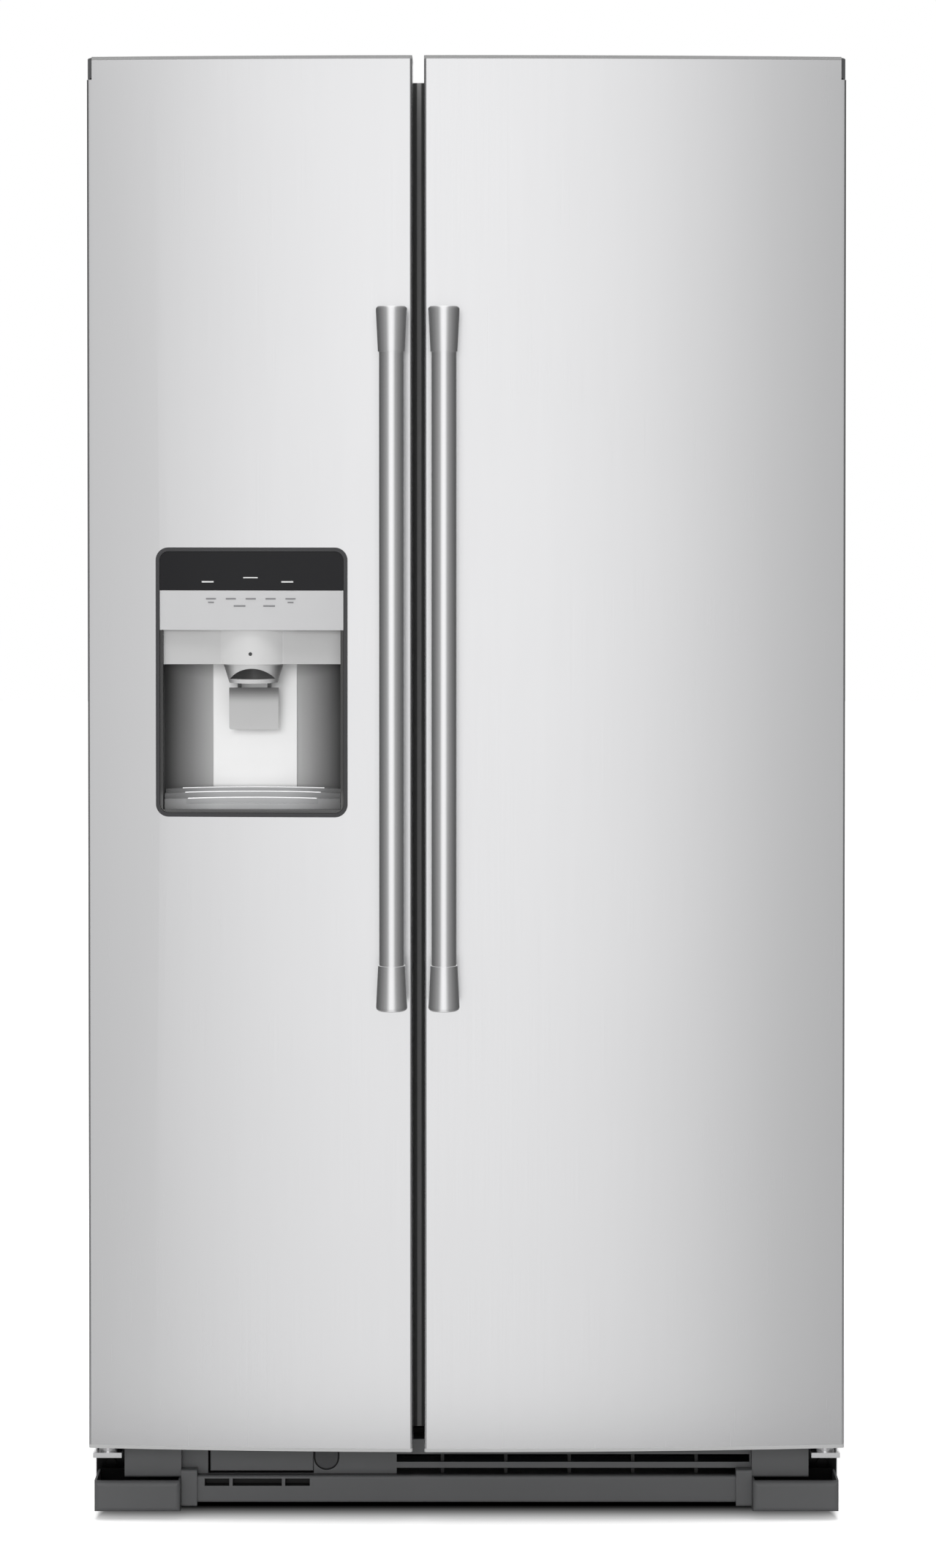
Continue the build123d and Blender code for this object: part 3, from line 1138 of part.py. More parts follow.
# Bottom hinges: a plate on the cross member, an arm under the door, a collar and a pin
with BuildPart() as bottom_hinges:
    for side in (-1, 1):
        pin_x = side * PIN_X
        arm_x = (pin_x - BOTTOM_ARM_WIDTH / 2, pin_x + BOTTOM_ARM_WIDTH / 2)
        nose_y = PIN_Y - BOTTOM_ARM_NOSE
        block(arm_x, (nose_y, FRONT_Y), (ARM_TOP - HINGE_PLATE, ARM_TOP))
        block(arm_x, (nose_y, nose_y + HINGE_PLATE), (ARM_TOP - BOTTOM_ARM_LIP, ARM_TOP))
        block(arm_x, (FRONT_Y - HINGE_PLATE, FRONT_Y), (ARM_TOP - BOTTOM_PLATE_DROP, ARM_TOP))
        rod((pin_x, PIN_Y, ARM_TOP), HINGE_COLLAR, BOTTOM_ARM_DROP, "Z")
        rod((pin_x, PIN_Y, DOOR_BOTTOM), PIN_RADIUS, DOOR_BOTTOM_CAP - PIN_END_GAP, "Z")
    for x, z in bottom_screw_places():
        hole = SCREW_RADIUS + SCREW_CLEARANCE
        rod((x, FRONT_Y - HINGE_PLATE, z), hole, HINGE_PLATE, "Y", Mode.SUBTRACT)
save(bottom_hinges.part, "bottom_hinges")

# Screws of all four hinges
with BuildPart() as hinge_screws:
    for x, y in top_screw_places():
        rod((x, y, CABINET_TOP - SHEET), SCREW_RADIUS, SHEET + HINGE_PLATE, "Z")
        rod((x, y, CABINET_TOP + HINGE_PLATE), SCREW_HEAD_RADIUS, SCREW_HEAD, "Z")
    for x, z in bottom_screw_places():
        rod((x, FRONT_Y - HINGE_PLATE, z), SCREW_RADIUS, HINGE_PLATE + PAN_SHEET, "Y")
        rod((x, FRONT_Y - HINGE_PLATE - SCREW_HEAD, z), SCREW_HEAD_RADIUS, SCREW_HEAD, "Y")
save(hinge_screws.part, "hinge_screws")


def cover_body(side, inset, low, mode):
    """Outer form of a hinge cover, drawn in by an inset: box, neck and round nose."""
    pin_x = side * PIN_X
    height = HEIGHT - inset - low
    outer = SIDE_X + COVER_OVERHANG - inset
    y = (FRONT_Y + inset, FRONT_Y + COVER_REACH - inset)
    block(mirrored(side, SIDE_X - COVER_WIDTH + inset, outer), y, (low, HEIGHT - inset), mode)
    neck = mirrored(side, PIN_X - COVER_DISC + inset, PIN_X + COVER_NECK_OUTER - inset)
    block(neck, (PIN_Y, y[0] + inset), (low, HEIGHT - inset), mode)
    rod((pin_x, PIN_Y, low), COVER_DISC - inset, height, "Z", mode)


# Moulded covers over the top hinges, with a lip down the cabinet side
with BuildPart() as hinge_covers:
    for side in (-1, 1):
        cover_body(side, 0.0, CABINET_TOP, Mode.ADD)
    tops = hinge_covers.faces().filter_by(Axis.Z).group_by(Axis.Z)[-1]
    fillet(tops.edges(), COVER_WALL / 2)
    for side in (-1, 1):
        lip_y = (FRONT_Y, FRONT_Y + COVER_REACH)
        lip_z = (CABINET_TOP - COVER_LIP, CABINET_TOP)
        block(mirrored(side, SIDE_X, SIDE_X + COVER_OVERHANG), lip_y, lip_z)
        cover_body(side, COVER_WALL, CABINET_TOP, Mode.SUBTRACT)
save(hinge_covers.part, "hinge_covers")

# Base grille: lower bar, upper panel with louvres, end posts and end blocks
GRILLE_Y = FRONT_Y - GRILLE_FRONT
UPPER_Y = FRONT_Y - GRILLE_UPPER_FRONT
BASE_GRILLE_HALF = SIDE_X - BASE_GRILLE_INSET
POST_REACH = BASE_GRILLE_HALF + POST_WIDTH
BLOCK_OUTER = PIN_X - BOTTOM_ARM_WIDTH / 2 - BLOCK_GAP
BUTTON_X = (BUTTON_LEFT + BUTTON_RIGHT) / 2
BUTTON_RADIUS = (BUTTON_RIGHT - BUTTON_LEFT) / 2


def button_outline(grow):
    """Eject button seen from the front: flat top, round foot."""
    radius = BUTTON_RADIUS + grow
    low = BUTTON_BOTTOM + BUTTON_RADIUS
    with BuildSketch() as outline:
        with Locations((BUTTON_X, (low + GRILLE_TOP) / 2)):
            Rectangle(2 * radius, GRILLE_TOP - low)
        with Locations((BUTTON_X, low)):
            Circle(radius)
    return outline.sketch


button_hole = button_outline(0.0)
button_face = button_outline(-BUTTON_FIT)
button_groove = button_outline(BUTTON_GROOVE)
with BuildPart() as base_grille:
    bar_z = (GRILLE_BOTTOM, GRILLE_STEP)
    upper_z = (GRILLE_STEP, GRILLE_TOP)
    block((-BASE_GRILLE_HALF, BASE_GRILLE_HALF), (GRILLE_Y, FRONT_Y), bar_z)
    block((-POST_REACH, POST_REACH), (UPPER_Y, FRONT_Y), upper_z)
    for side in (-1, 1):
        post_x = mirrored(side, BASE_GRILLE_HALF, POST_REACH)
        block(post_x, (GRILLE_Y - GRILLE_WALL, FRONT_Y), (POST_BOTTOM, POST_TOP))
        end_z = (FOOT_TOP + PANEL_GAP, GRILLE_TOP)
        block(mirrored(side, POST_REACH, BLOCK_OUTER), (GRILLE_Y, FRONT_Y), end_z)
    edges = base_grille.edges().filter_by(Axis.X).filter_by(lambda e: e.center().Y < UPPER_Y - OVERCUT)
    fillet(edges, GRILLE_WALL)
    louvre_y = (UPPER_Y, FRONT_Y)
    louvre_x = (LOUVRE_LEFT, LOUVRE_RIGHT)
    block(louvre_x, louvre_y, (LOUVRE_BOTTOM, LOUVRE_BAR_BOTTOM), Mode.SUBTRACT)
    block(louvre_x, louvre_y, (LOUVRE_BAR_TOP, LOUVRE_TOP), Mode.SUBTRACT)
    rib_y = (UPPER_Y + GRILLE_WALL, FRONT_Y)
    for index in range(LOUVRE_RIB_COUNT):
        x = LOUVRE_FIRST_RIB + index * LOUVRE_RIB_PITCH
        block((x - LOUVRE_RIB / 2, x + LOUVRE_RIB / 2), rib_y, (LOUVRE_BOTTOM, LOUVRE_TOP))
    slot_y = (GRILLE_Y, GRILLE_Y + 4 * GRILLE_WALL)
    block((SLOT_LEFT, SLOT_RIGHT), slot_y, (SLOT_BOTTOM, SLOT_TOP), Mode.SUBTRACT)
    slot_third = (SLOT_RIGHT - SLOT_LEFT) / 4
    for x in (SLOT_LEFT + slot_third, SLOT_RIGHT - slot_third):
        block((x - SLOT_RIB / 2, x + SLOT_RIB / 2), slot_y, (SLOT_BOTTOM, SLOT_TOP))
    filter_gap = (FILTER_LEFT - FILTER_GAP, FILTER_RIGHT + BUTTON_FIT)
    filter_z = (FILTER_CAP_BOTTOM - FILTER_GAP, GRILLE_TOP)
    block(filter_gap, louvre_y, filter_z, Mode.SUBTRACT)
    with BuildSketch(Plane.XZ.offset(-FRONT_Y)):
        add(button_hole)
    extrude(amount=GRILLE_UPPER_FRONT, mode=Mode.SUBTRACT)
    with BuildSketch(Plane.XZ.offset(-UPPER_Y - GRILLE_WALL)):
        add(button_groove)
    extrude(amount=GRILLE_WALL + OVERCUT, mode=Mode.SUBTRACT)
save(base_grille.part, "base_grille")

# Eject button, pressed towards the cabinet
with BuildPart() as eject_button:
    with BuildSketch(Plane.XZ.offset(-UPPER_Y - BUTTON_DEPTH)):
        add(button_face)
    extrude(amount=BUTTON_DEPTH + BUTTON_FIT)
    fillet(eject_button.faces().sort_by(Axis.Y)[0].edges(), BUTTON_ROUND)
save(eject_button.part, "eject_button")

# Water filter: cartridge and the cap on its front
with BuildPart() as water_filter:
    rod((FILTER_X, FRONT_Y, FILTER_AXIS_Z), FILTER_RADIUS, FILTER_LENGTH, "Y")
    fillet(water_filter.edges().sort_by(Axis.Y)[-1], GRILLE_WALL)
    cap_y = (UPPER_Y, UPPER_Y + FILTER_CAP_THICKNESS)
    cap_z = (FILTER_CAP_BOTTOM, GRILLE_TOP)
    block((FILTER_LEFT, FILTER_RIGHT), cap_y, cap_z)
    rod((FILTER_X, UPPER_Y, FILTER_AXIS_Z), FILTER_RADIUS, GRILLE_UPPER_FRONT, "Y")
    fillet(water_filter.faces().sort_by(Axis.Y)[0].edges(), FILTER_CAP_ROUND)
save(water_filter.part, "water_filter")

# Sleeve that the filter slides into, hung from the deck
with BuildPart() as filter_housing:
    sleeve_y = FRONT_Y + PAN_SHEET
    sleeve_end = FILTER_LENGTH - PAN_SHEET + FILTER_FIT
    rod((FILTER_X, sleeve_y, FILTER_AXIS_Z), SLEEVE_RADIUS, sleeve_end + FILTER_SLEEVE, "Y")
    hanger_x = (FILTER_X - FILTER_RADIUS / 2, FILTER_X + FILTER_RADIUS / 2)
    block(hanger_x, (sleeve_y, sleeve_y + sleeve_end), (FILTER_AXIS_Z + FILTER_RADIUS, CABINET_BOTTOM))
    bore = FILTER_RADIUS + FILTER_FIT
    rod((FILTER_X, sleeve_y, FILTER_AXIS_Z), bore, sleeve_end, "Y", Mode.SUBTRACT)
save(filter_housing.part, "filter_housing")

# Foot covers below the hinges, open at the top
FOOT_INNER = POST_REACH + PANEL_GAP
FOOT_OUTER = SIDE_X - FOOT_INSET
with BuildPart() as foot_covers:
    for side in (-1, 1):
        foot_x = mirrored(side, FOOT_INNER, FOOT_OUTER)
        block(foot_x, (FRONT_Y - FOOT_FRONT, FRONT_Y), (FOOT_BOTTOM, FOOT_TOP))
    fronts = foot_covers.edges().filter_by(lambda e: e.center().Y < FRONT_Y - FOOT_FRONT + OVERCUT)
    fillet(fronts, FOOT_RADIUS)
    for side in (-1, 1):
        inner_x = mirrored(side, FOOT_INNER + FOOT_WALL, FOOT_OUTER - FOOT_WALL)
        inner_y = (FRONT_Y - FOOT_FRONT + FOOT_RADIUS, FRONT_Y)
        block(inner_x, inner_y, (FOOT_BOTTOM + FOOT_WALL, FOOT_TOP + OVERCUT), Mode.SUBTRACT)
save(foot_covers.part, "foot_covers")

# Levelling legs: pad, nut under the rail tab and threaded stem
with BuildPart() as leveling_legs:
    for side in (-1, 1):
        place = (side * LEG_X, LEG_Y)
        rod((*place, 0), LEG_PAD_RADIUS, LEG_PAD, "Z")
        rod((*place, LEG_PAD), LEG_STEM_RADIUS, LEG_STEM_TOP - LEG_PAD, "Z")
        with BuildSketch(Plane.XY.offset(PAN_BOTTOM - LEG_NUT)):
            with Locations(place):
                RegularPolygon(LEG_NUT_RADIUS, 6)
        extrude(amount=LEG_NUT)
save(leveling_legs.part, "leveling_legs")

# Rear rollers, each turned with its own axle
ROLLER_X = RAIL_OUTER - RAIL_WIDTH / 2 + PAN_SHEET / 2
with BuildPart() as rear_rollers:
    for side in (-1, 1):
        low = mirrored(side, ROLLER_X - ROLLER_WIDTH / 2, ROLLER_X + ROLLER_WIDTH / 2)[0]
        rod((low, ROLLER_Y, ROLLER_RADIUS), ROLLER_RADIUS, ROLLER_WIDTH, "X")
    fillet(rear_rollers.edges().filter_by(GeomType.CIRCLE), ROLLER_ROUND)
    for side in (-1, 1):
        axle = mirrored(side, RAIL_INNER, RAIL_OUTER)
        rod((axle[0], ROLLER_Y, ROLLER_RADIUS), ROLLER_AXLE, RAIL_WIDTH, "X")
save(rear_rollers.part, "rear_rollers")

# Slatted freezer shelves
SHELF_FRONT_Y = FRONT_Y + SHELF_FRONT
FREEZER_SHELF_X = inside(FREEZER_OPEN, SHELF_FIT)
FREEZER_SHELF_Y = (SHELF_FRONT_Y, LINER_BACK_Y - EVAPORATOR_GAP - SHELF_BACK_GAP)
with BuildPart() as freezer_shelves:
    shelf_width = FREEZER_SHELF_X[1] - FREEZER_SHELF_X[0]
    shelf_depth = FREEZER_SHELF_Y[1] - FREEZER_SHELF_Y[0]
    slat_length = (shelf_width - 3 * SHELF_RIM) / 2
    slat_count = int((shelf_depth - 2 * SHELF_RIM) // SLAT_PITCH)
    for top in FREEZER_LEVELS:
        block(FREEZER_SHELF_X, FREEZER_SHELF_Y, (top - FREEZER_SHELF, top))
        with BuildSketch(Plane.XY.offset(top - FREEZER_SHELF)):
            with Locations((sum(FREEZER_SHELF_X) / 2, sum(FREEZER_SHELF_Y) / 2)):
                with GridLocations(slat_length + SHELF_RIM, SLAT_PITCH, 2, slat_count):
                    Rectangle(slat_length, SLAT_GAP)
        extrude(amount=FREEZER_SHELF, mode=Mode.SUBTRACT)
save(freezer_shelves.part, "freezer_shelves")

# Fridge shelves: glass plates let into moulded frames
FRIDGE_SHELF_X = inside(FRIDGE_OPEN, SHELF_FIT)
FRIDGE_SHELF_Y = (SHELF_FRONT_Y, LINER_BACK_Y - SHELF_BACK_GAP)
with BuildPart() as shelf_frames:
    for top in FRIDGE_SHELVES:
        block(FRIDGE_SHELF_X, FRIDGE_SHELF_Y, (top - SHELF_HEIGHT, top))
        through = SHELF_RIM + SHELF_LEDGE
        frame_z = (top - SHELF_HEIGHT, top)
        hole_y = inside(FRIDGE_SHELF_Y, through)
        block(inside(FRIDGE_SHELF_X, through), hole_y, frame_z, Mode.SUBTRACT)
        rebate_y = inside(FRIDGE_SHELF_Y, SHELF_RIM)
        rebate_z = (top - GLASS_THICKNESS, top)
        block(inside(FRIDGE_SHELF_X, SHELF_RIM), rebate_y, rebate_z, Mode.SUBTRACT)
save(shelf_frames.part, "shelf_frames")

with BuildPart() as shelf_glass:
    for top in FRIDGE_SHELVES:
        edge = SHELF_RIM + GLASS_FIT
        glass_y = inside(FRIDGE_SHELF_Y, edge)
        block(inside(FRIDGE_SHELF_X, edge), glass_y, (top - GLASS_THICKNESS, top))
save(shelf_glass.part, "shelf_glass")

# Frame that carries both crispers on runners
DRAWER_BACK_Y = LINER_BACK_Y - SHELF_BACK_GAP
LOWER_BACK_Y = STEP_Y - SHELF_BACK_GAP
with BuildPart() as drawer_frame:
    frame_x = inside(FRIDGE_OPEN, SHELF_FIT)
    panel_z = (RUNNER_BOTTOM, DRAWER_TOP + DRAWER_PLATE)
    side_y = (DRAWER_Y, LOWER_BACK_Y)
    reach = DRAWER_PANEL + RUNNER_WIDTH
    runner_z = (RUNNER_BOTTOM, RUNNER_BOTTOM + RUNNER)
    block((frame_x[0], frame_x[0] + DRAWER_PANEL), side_y, panel_z)
    block((frame_x[1] - DRAWER_PANEL, frame_x[1]), side_y, panel_z)
    block((frame_x[0], frame_x[0] + reach), side_y, runner_z)
    block((frame_x[1] - reach, frame_x[1]), side_y, runner_z)
    for plate in (MID_PLATE, DRAWER_TOP):
        block(frame_x, (DRAWER_Y, DRAWER_BACK_Y), (plate, plate + DRAWER_PLATE))
save(drawer_frame.part, "drawer_frame")


def drawer(face_x, box_x, back_y, low, height):
    """Sliding drawer: open box behind a thicker face with a finger groove."""
    face_y = (DRAWER_Y - DRAWER_LIFT - DRAWER_FACE, DRAWER_Y - DRAWER_LIFT)
    z = (low, low + height)
    middle = sum(face_x) / 2
    with BuildPart() as box:
        open_box(box_x, (face_y[0], back_y), z, DRAWER_WALL)
        block(face_x, face_y, z)
        pull_x = (middle - PULL_WIDTH / 2, middle + PULL_WIDTH / 2)
        pull_y = (face_y[0], face_y[0] + PULL_DEPTH)
        pull_z = (z[1] - 2 * PULL_HEIGHT, z[1] - PULL_HEIGHT)
        block(pull_x, pull_y, pull_z, Mode.SUBTRACT)
        fillet(box.faces().sort_by(Axis.Y)[0].outer_wire().edges(), DRAWER_WALL)
    return box.part


BOX_X = inside(FRIDGE_OPEN, SHELF_FIT + DRAWER_PANEL + DRAWER_SIDE_GAP)
FACE_X = inside(FRIDGE_OPEN, SHELF_FIT + DRAWER_SIDE_GAP)
BASKET_X = inside(FREEZER_OPEN, DRAWER_SIDE_GAP)
RUNNER_TOP = RUNNER_BOTTOM + RUNNER + DRAWER_LIFT
UPPER_LOW = MID_PLATE + DRAWER_PLATE + DRAWER_LIFT
lower_crisper = drawer(FACE_X, BOX_X, LOWER_BACK_Y, RUNNER_TOP, LOWER_DRAWER_HEIGHT)
upper_crisper = drawer(FACE_X, BOX_X, DRAWER_BACK_Y, UPPER_LOW, UPPER_DRAWER_HEIGHT)
freezer_basket = drawer(BASKET_X, BASKET_X, LOWER_BACK_Y, RUNNER_TOP, BASKET_HEIGHT)
save(lower_crisper, "lower_crisper")
save(upper_crisper, "upper_crisper")
save(freezer_basket, "freezer_basket")

# Vented panel in front of the evaporator
COVER_PANEL_Y = LINER_BACK_Y - EVAPORATOR_GAP
with BuildPart() as evaporator_cover:
    cover_z = (STEP_TOP + LINER_RADIUS, EVAPORATOR_COVER_TOP)
    block(FREEZER_SHELF_X, (COVER_PANEL_Y, COVER_PANEL_Y + EVAPORATOR_COVER), cover_z)
    vent_rise = VENT_PITCH * VENT_COUNT
    vent_places = (cover_z[0] + vent_rise, cover_z[1] - vent_rise)
    with BuildSketch(Plane.XZ.offset(-COVER_PANEL_Y)):
        with Locations(*[(sum(FREEZER_OPEN) / 2, z) for z in vent_places]):
            with GridLocations(0, VENT_PITCH, 1, VENT_COUNT):
                SlotOverall(VENT_LENGTH, VENT_HEIGHT)
    extrude(amount=-EVAPORATOR_COVER, mode=Mode.SUBTRACT)
save(evaporator_cover.part, "evaporator_cover")


def serpentine(left, right, y, low, pitch, passes):
    """Points of a tube that runs to and fro along X and climbs one pitch each time."""
    points = []
    for index in range(passes):
        ends = (left, right) if index % 2 == 0 else (right, left)
        points += [(x, y, low + index * pitch) for x in ends]
    return points


def coil(points, bend, radius, plates_x, plate_y, plate_z):
    """Bent tube brazed through two end plates."""
    with BuildPart() as tube:
        with BuildLine() as path:
            FilletPolyline(*points, radius=bend)
        with BuildSketch(Plane(origin=path.line @ 0, z_dir=path.line % 0)):
            Circle(radius)
        sweep(path=path.wire())
        for x in plates_x:
            block((x, x + COIL_PLATE), plate_y, plate_z)
    return tube.part


COIL_Y = LINER_BACK_Y - EVAPORATOR_GAP / 2
COIL_PITCH = COIL_SPREAD * COIL_BEND
coil_x = inside(FREEZER_OPEN, COIL_MARGIN)
coil_plates = (coil_x[0] + 2 * COIL_BEND, coil_x[1] - 2 * COIL_BEND - COIL_PLATE)
coil_top = COIL_BOTTOM + COIL_PITCH * COIL_PASSES
evaporator_coil = coil(
    serpentine(*coil_x, COIL_Y, COIL_BOTTOM, COIL_PITCH, COIL_PASSES),
    COIL_BEND,
    COIL_RADIUS,
    coil_plates,
    (COVER_PANEL_Y + 2 * EVAPORATOR_COVER, LINER_BACK_Y),
    (COIL_BOTTOM - COIL_BEND, coil_top),
)
save(evaporator_coil, "evaporator_coil")

CONDENSER_BEND = CONDENSER_PITCH / COIL_SPREAD
condenser_low = PAN_TOP + CONDENSER_PITCH
condenser_x = (CONDENSER_LEFT, CONDENSER_RIGHT)
condenser_coil = coil(
    serpentine(*condenser_x, BAY_AXIS_Y, condenser_low, CONDENSER_PITCH, CONDENSER_PASSES),
    CONDENSER_BEND,
    CONDENSER_TUBE,
    (CONDENSER_LEFT + 2 * CONDENSER_BEND, CONDENSER_RIGHT - 2 * CONDENSER_BEND - COIL_PLATE),
    (BAY_AXIS_Y - CONDENSER_PITCH, BAY_AXIS_Y + CONDENSER_PITCH),
    (PAN_TOP, condenser_low + CONDENSER_PITCH * CONDENSER_PASSES),
)
save(condenser_coil, "condenser_coil")

# Ice maker on the side wall: trough with dividers and a motor box in front
with BuildPart() as ice_maker:
    maker_x = (FREEZER_OPEN[0], FREEZER_OPEN[0] + ICE_MAKER_WIDTH)
    maker_front = FRONT_Y + ICE_MAKER_SETBACK
    maker_y = (maker_front, maker_front + ICE_MAKER_LENGTH)
    maker_top = OPEN_TOP - ICE_MAKER_DROP
    block(maker_x, maker_y, (maker_top - ICE_MAKER_HEIGHT, maker_top))
    trough = ICE_MAKER_HEIGHT / 2
    trough_y = (maker_y[0] + ICE_MAKER_BOX, maker_y[1] - BUCKET_WALL)
    trough_start = (sum(maker_x) / 2, trough_y[0], maker_top)
    rod(trough_start, trough, trough_y[1] - trough_y[0], "Y", Mode.SUBTRACT)
    divider_pitch = (trough_y[1] - trough_y[0]) / ICE_CUBES
    for index in range(1, ICE_CUBES):
        y = trough_y[0] + index * divider_pitch
        divider_x = inside(maker_x, trough / 2)
        divider_z = (maker_top - trough - BUCKET_WALL, maker_top - trough / 3)
        block(divider_x, (y, y + BUCKET_WALL), divider_z)
save(ice_maker.part, "ice_maker")

# Ice bucket on the top freezer shelf
with BuildPart() as ice_bucket:
    bucket_x = inside(FREEZER_OPEN, BUCKET_MARGIN)
    bucket_y = (SHELF_FRONT_Y, SHELF_FRONT_Y + BUCKET_DEPTH)
    bucket_low = FREEZER_LEVELS[-1]
    open_box(bucket_x, bucket_y, (bucket_low, bucket_low + BUCKET_HEIGHT), BUCKET_WALL)
    spout = (sum(FREEZER_OPEN) / 2, bucket_y[0], bucket_low + BUCKET_SPOUT + 2 * BUCKET_WALL)
    rod(spout, BUCKET_SPOUT, BUCKET_WALL, "Y", Mode.SUBTRACT)
save(ice_bucket.part, "ice_bucket")

# Control box under the fridge ceiling, with a lamp recess
with BuildPart() as control_box:
    control_middle = sum(FRIDGE_OPEN) / 2
    control_x = (control_middle - CONTROL_WIDTH / 2, control_middle + CONTROL_WIDTH / 2)
    control_y = (SHELF_FRONT_Y, SHELF_FRONT_Y + CONTROL_LENGTH)
    control_z = (OPEN_TOP - CONTROL_HEIGHT, OPEN_TOP)
    block(control_x, control_y, control_z)
    low_edges = control_box.faces().sort_by(Axis.Z)[0].edges()
    fillet(low_edges, LINER_RADIUS)
    lamp_y = (control_y[1] - CONTROL_LAMP - 2 * LINER_RADIUS, control_y[1] - 2 * LINER_RADIUS)
    lamp_x = inside(control_x, CONTROL_LAMP / 2)
    block(lamp_x, lamp_y, (control_z[0], control_z[0] + CONTROL_HEIGHT / 4), Mode.SUBTRACT)
save(control_box.part, "control_box")

# Compressor: welded dome on a plate with four feet
with BuildPart() as compressor:
    plate_low = PAN_TOP + COMPRESSOR_FOOT
    body_low = plate_low + COMPRESSOR_PLATE
    rod((COMPRESSOR_X, BAY_AXIS_Y, body_low), COMPRESSOR_RADIUS, COMPRESSOR_HEIGHT, "Z")
    fillet(compressor.edges().filter_by(GeomType.CIRCLE), COMPRESSOR_RADIUS / 2)
    seam_z = body_low + COMPRESSOR_HEIGHT / 2
    rod((COMPRESSOR_X, BAY_AXIS_Y, seam_z), COMPRESSOR_RADIUS + COMPRESSOR_SEAM, COMPRESSOR_SEAM, "Z")
    with Locations((COMPRESSOR_X, BAY_AXIS_Y, plate_low + COMPRESSOR_PLATE / 2)):
        Box(*COMPRESSOR_BASE, COMPRESSOR_PLATE)
    for x in (-1, 1):
        for y in (-1, 1):
            foot_x = COMPRESSOR_X + x * (COMPRESSOR_BASE[0] / 2 - 2 * COMPRESSOR_FOOT)
            foot_y = BAY_AXIS_Y + y * (COMPRESSOR_BASE[1] / 2 - 2 * COMPRESSOR_FOOT)
            rod((foot_x, foot_y, PAN_TOP), COMPRESSOR_FOOT, COMPRESSOR_FOOT, "Z")
save(compressor.part, "compressor")

# Condenser fan with its shaft
MOTOR_X = FAN_X + FAN_WIDTH + MOTOR_GAP
SHAFT_END = MOTOR_X + MOTOR_LENGTH / 2
with BuildPart() as condenser_fan:
    rod((FAN_X, BAY_AXIS_Y, FAN_AXIS_Z), FAN_HUB, FAN_WIDTH, "X")
    blade_length = FAN_RADIUS - FAN_GAP - FAN_HUB / 2
    blade_middle = (FAN_RADIUS - FAN_GAP + FAN_HUB / 2) / 2
    for index in range(FAN_BLADES):
        spin = (index * 360 / FAN_BLADES, 0, 0)
        with Locations(Location((FAN_X + FAN_WIDTH / 2, BAY_AXIS_Y, FAN_AXIS_Z), spin)):
            with Locations(Location((0, 0, blade_middle), (0, 0, FAN_PITCH))):
                Box(SHROUD_THICKNESS, FAN_CHORD, blade_length)
    rod((FAN_X, BAY_AXIS_Y, FAN_AXIS_Z), FAN_SHAFT, SHAFT_END - FAN_X, "X")
save(condenser_fan.part, "condenser_fan")

# Fan shroud with the motor on three struts
with BuildPart() as fan_motor:
    plate_x = FAN_X + FAN_WIDTH / 2
    bay_y = (BAY_FRONT_Y + FAN_GAP, REAR_FACE - FAN_GAP)
    block((plate_x, plate_x + SHROUD_THICKNESS), bay_y, (PAN_TOP, BAY_TOP))
    throat = FAN_RADIUS + FAN_GAP
    rod((plate_x, BAY_AXIS_Y, FAN_AXIS_Z), throat, SHROUD_THICKNESS, "X", Mode.SUBTRACT)
    rod((MOTOR_X, BAY_AXIS_Y, FAN_AXIS_Z), MOTOR_RADIUS, MOTOR_LENGTH, "X")
    strut_reach = throat + STRUT_WIDTH + OVERCUT
    foot_length = MOTOR_X + SHROUD_THICKNESS - plate_x
    for index in range(STRUT_COUNT):
        spin = (index * 360 / STRUT_COUNT + STRUT_TURN, 0, 0)
        with Locations(Location((MOTOR_X, BAY_AXIS_Y, FAN_AXIS_Z), spin)):
            with Locations((SHROUD_THICKNESS / 2, 0, strut_reach / 2)):
                Box(SHROUD_THICKNESS, STRUT_WIDTH, strut_reach)
            with Locations((SHROUD_THICKNESS - foot_length / 2, 0, strut_reach - STRUT_WIDTH / 2)):
                Box(foot_length, STRUT_WIDTH, STRUT_WIDTH)
    motor_bore = FAN_SHAFT + AXLE_CLEARANCE
    rod((MOTOR_X, BAY_AXIS_Y, FAN_AXIS_Z), motor_bore, MOTOR_LENGTH / 2 + FAN_GAP, "X", Mode.SUBTRACT)
save(fan_motor.part, "fan_motor")

# Vented cover at the back of the machine bay, with the cord bush
with BuildPart() as rear_cover:
    block((-SIDE_X, SIDE_X), (REAR_FACE, REAR_FACE + REAR_COVER), (SKIRT_BOTTOM, BAY_TOP))
    with BuildSketch(Plane.XZ.offset(-REAR_FACE)):
        with Locations((0, (SKIRT_BOTTOM + BAY_TOP) / 2)):
            with GridLocations(COVER_VENT + VENT_PITCH, VENT_PITCH, VENT_COLUMNS, VENT_ROWS):
                SlotOverall(COVER_VENT, VENT_HEIGHT)
    extrude(amount=-REAR_COVER, mode=Mode.SUBTRACT)
    rod((VALVE_X, REAR_FACE, VALVE_Z), INLET_HOLE, REAR_COVER, "Y", Mode.SUBTRACT)
    rod((GLAND_X, REAR_FACE - GLAND_BORE, GLAND_Z), GLAND_OUTER, GLAND_BORE + REAR_BEAD + SHEET, "Y")
    rod((GLAND_X, REAR_FACE - GLAND_BORE, GLAND_Z), GLAND_BORE, BAY_DEPTH, "Y", Mode.SUBTRACT)
save(rear_cover.part, "rear_cover")

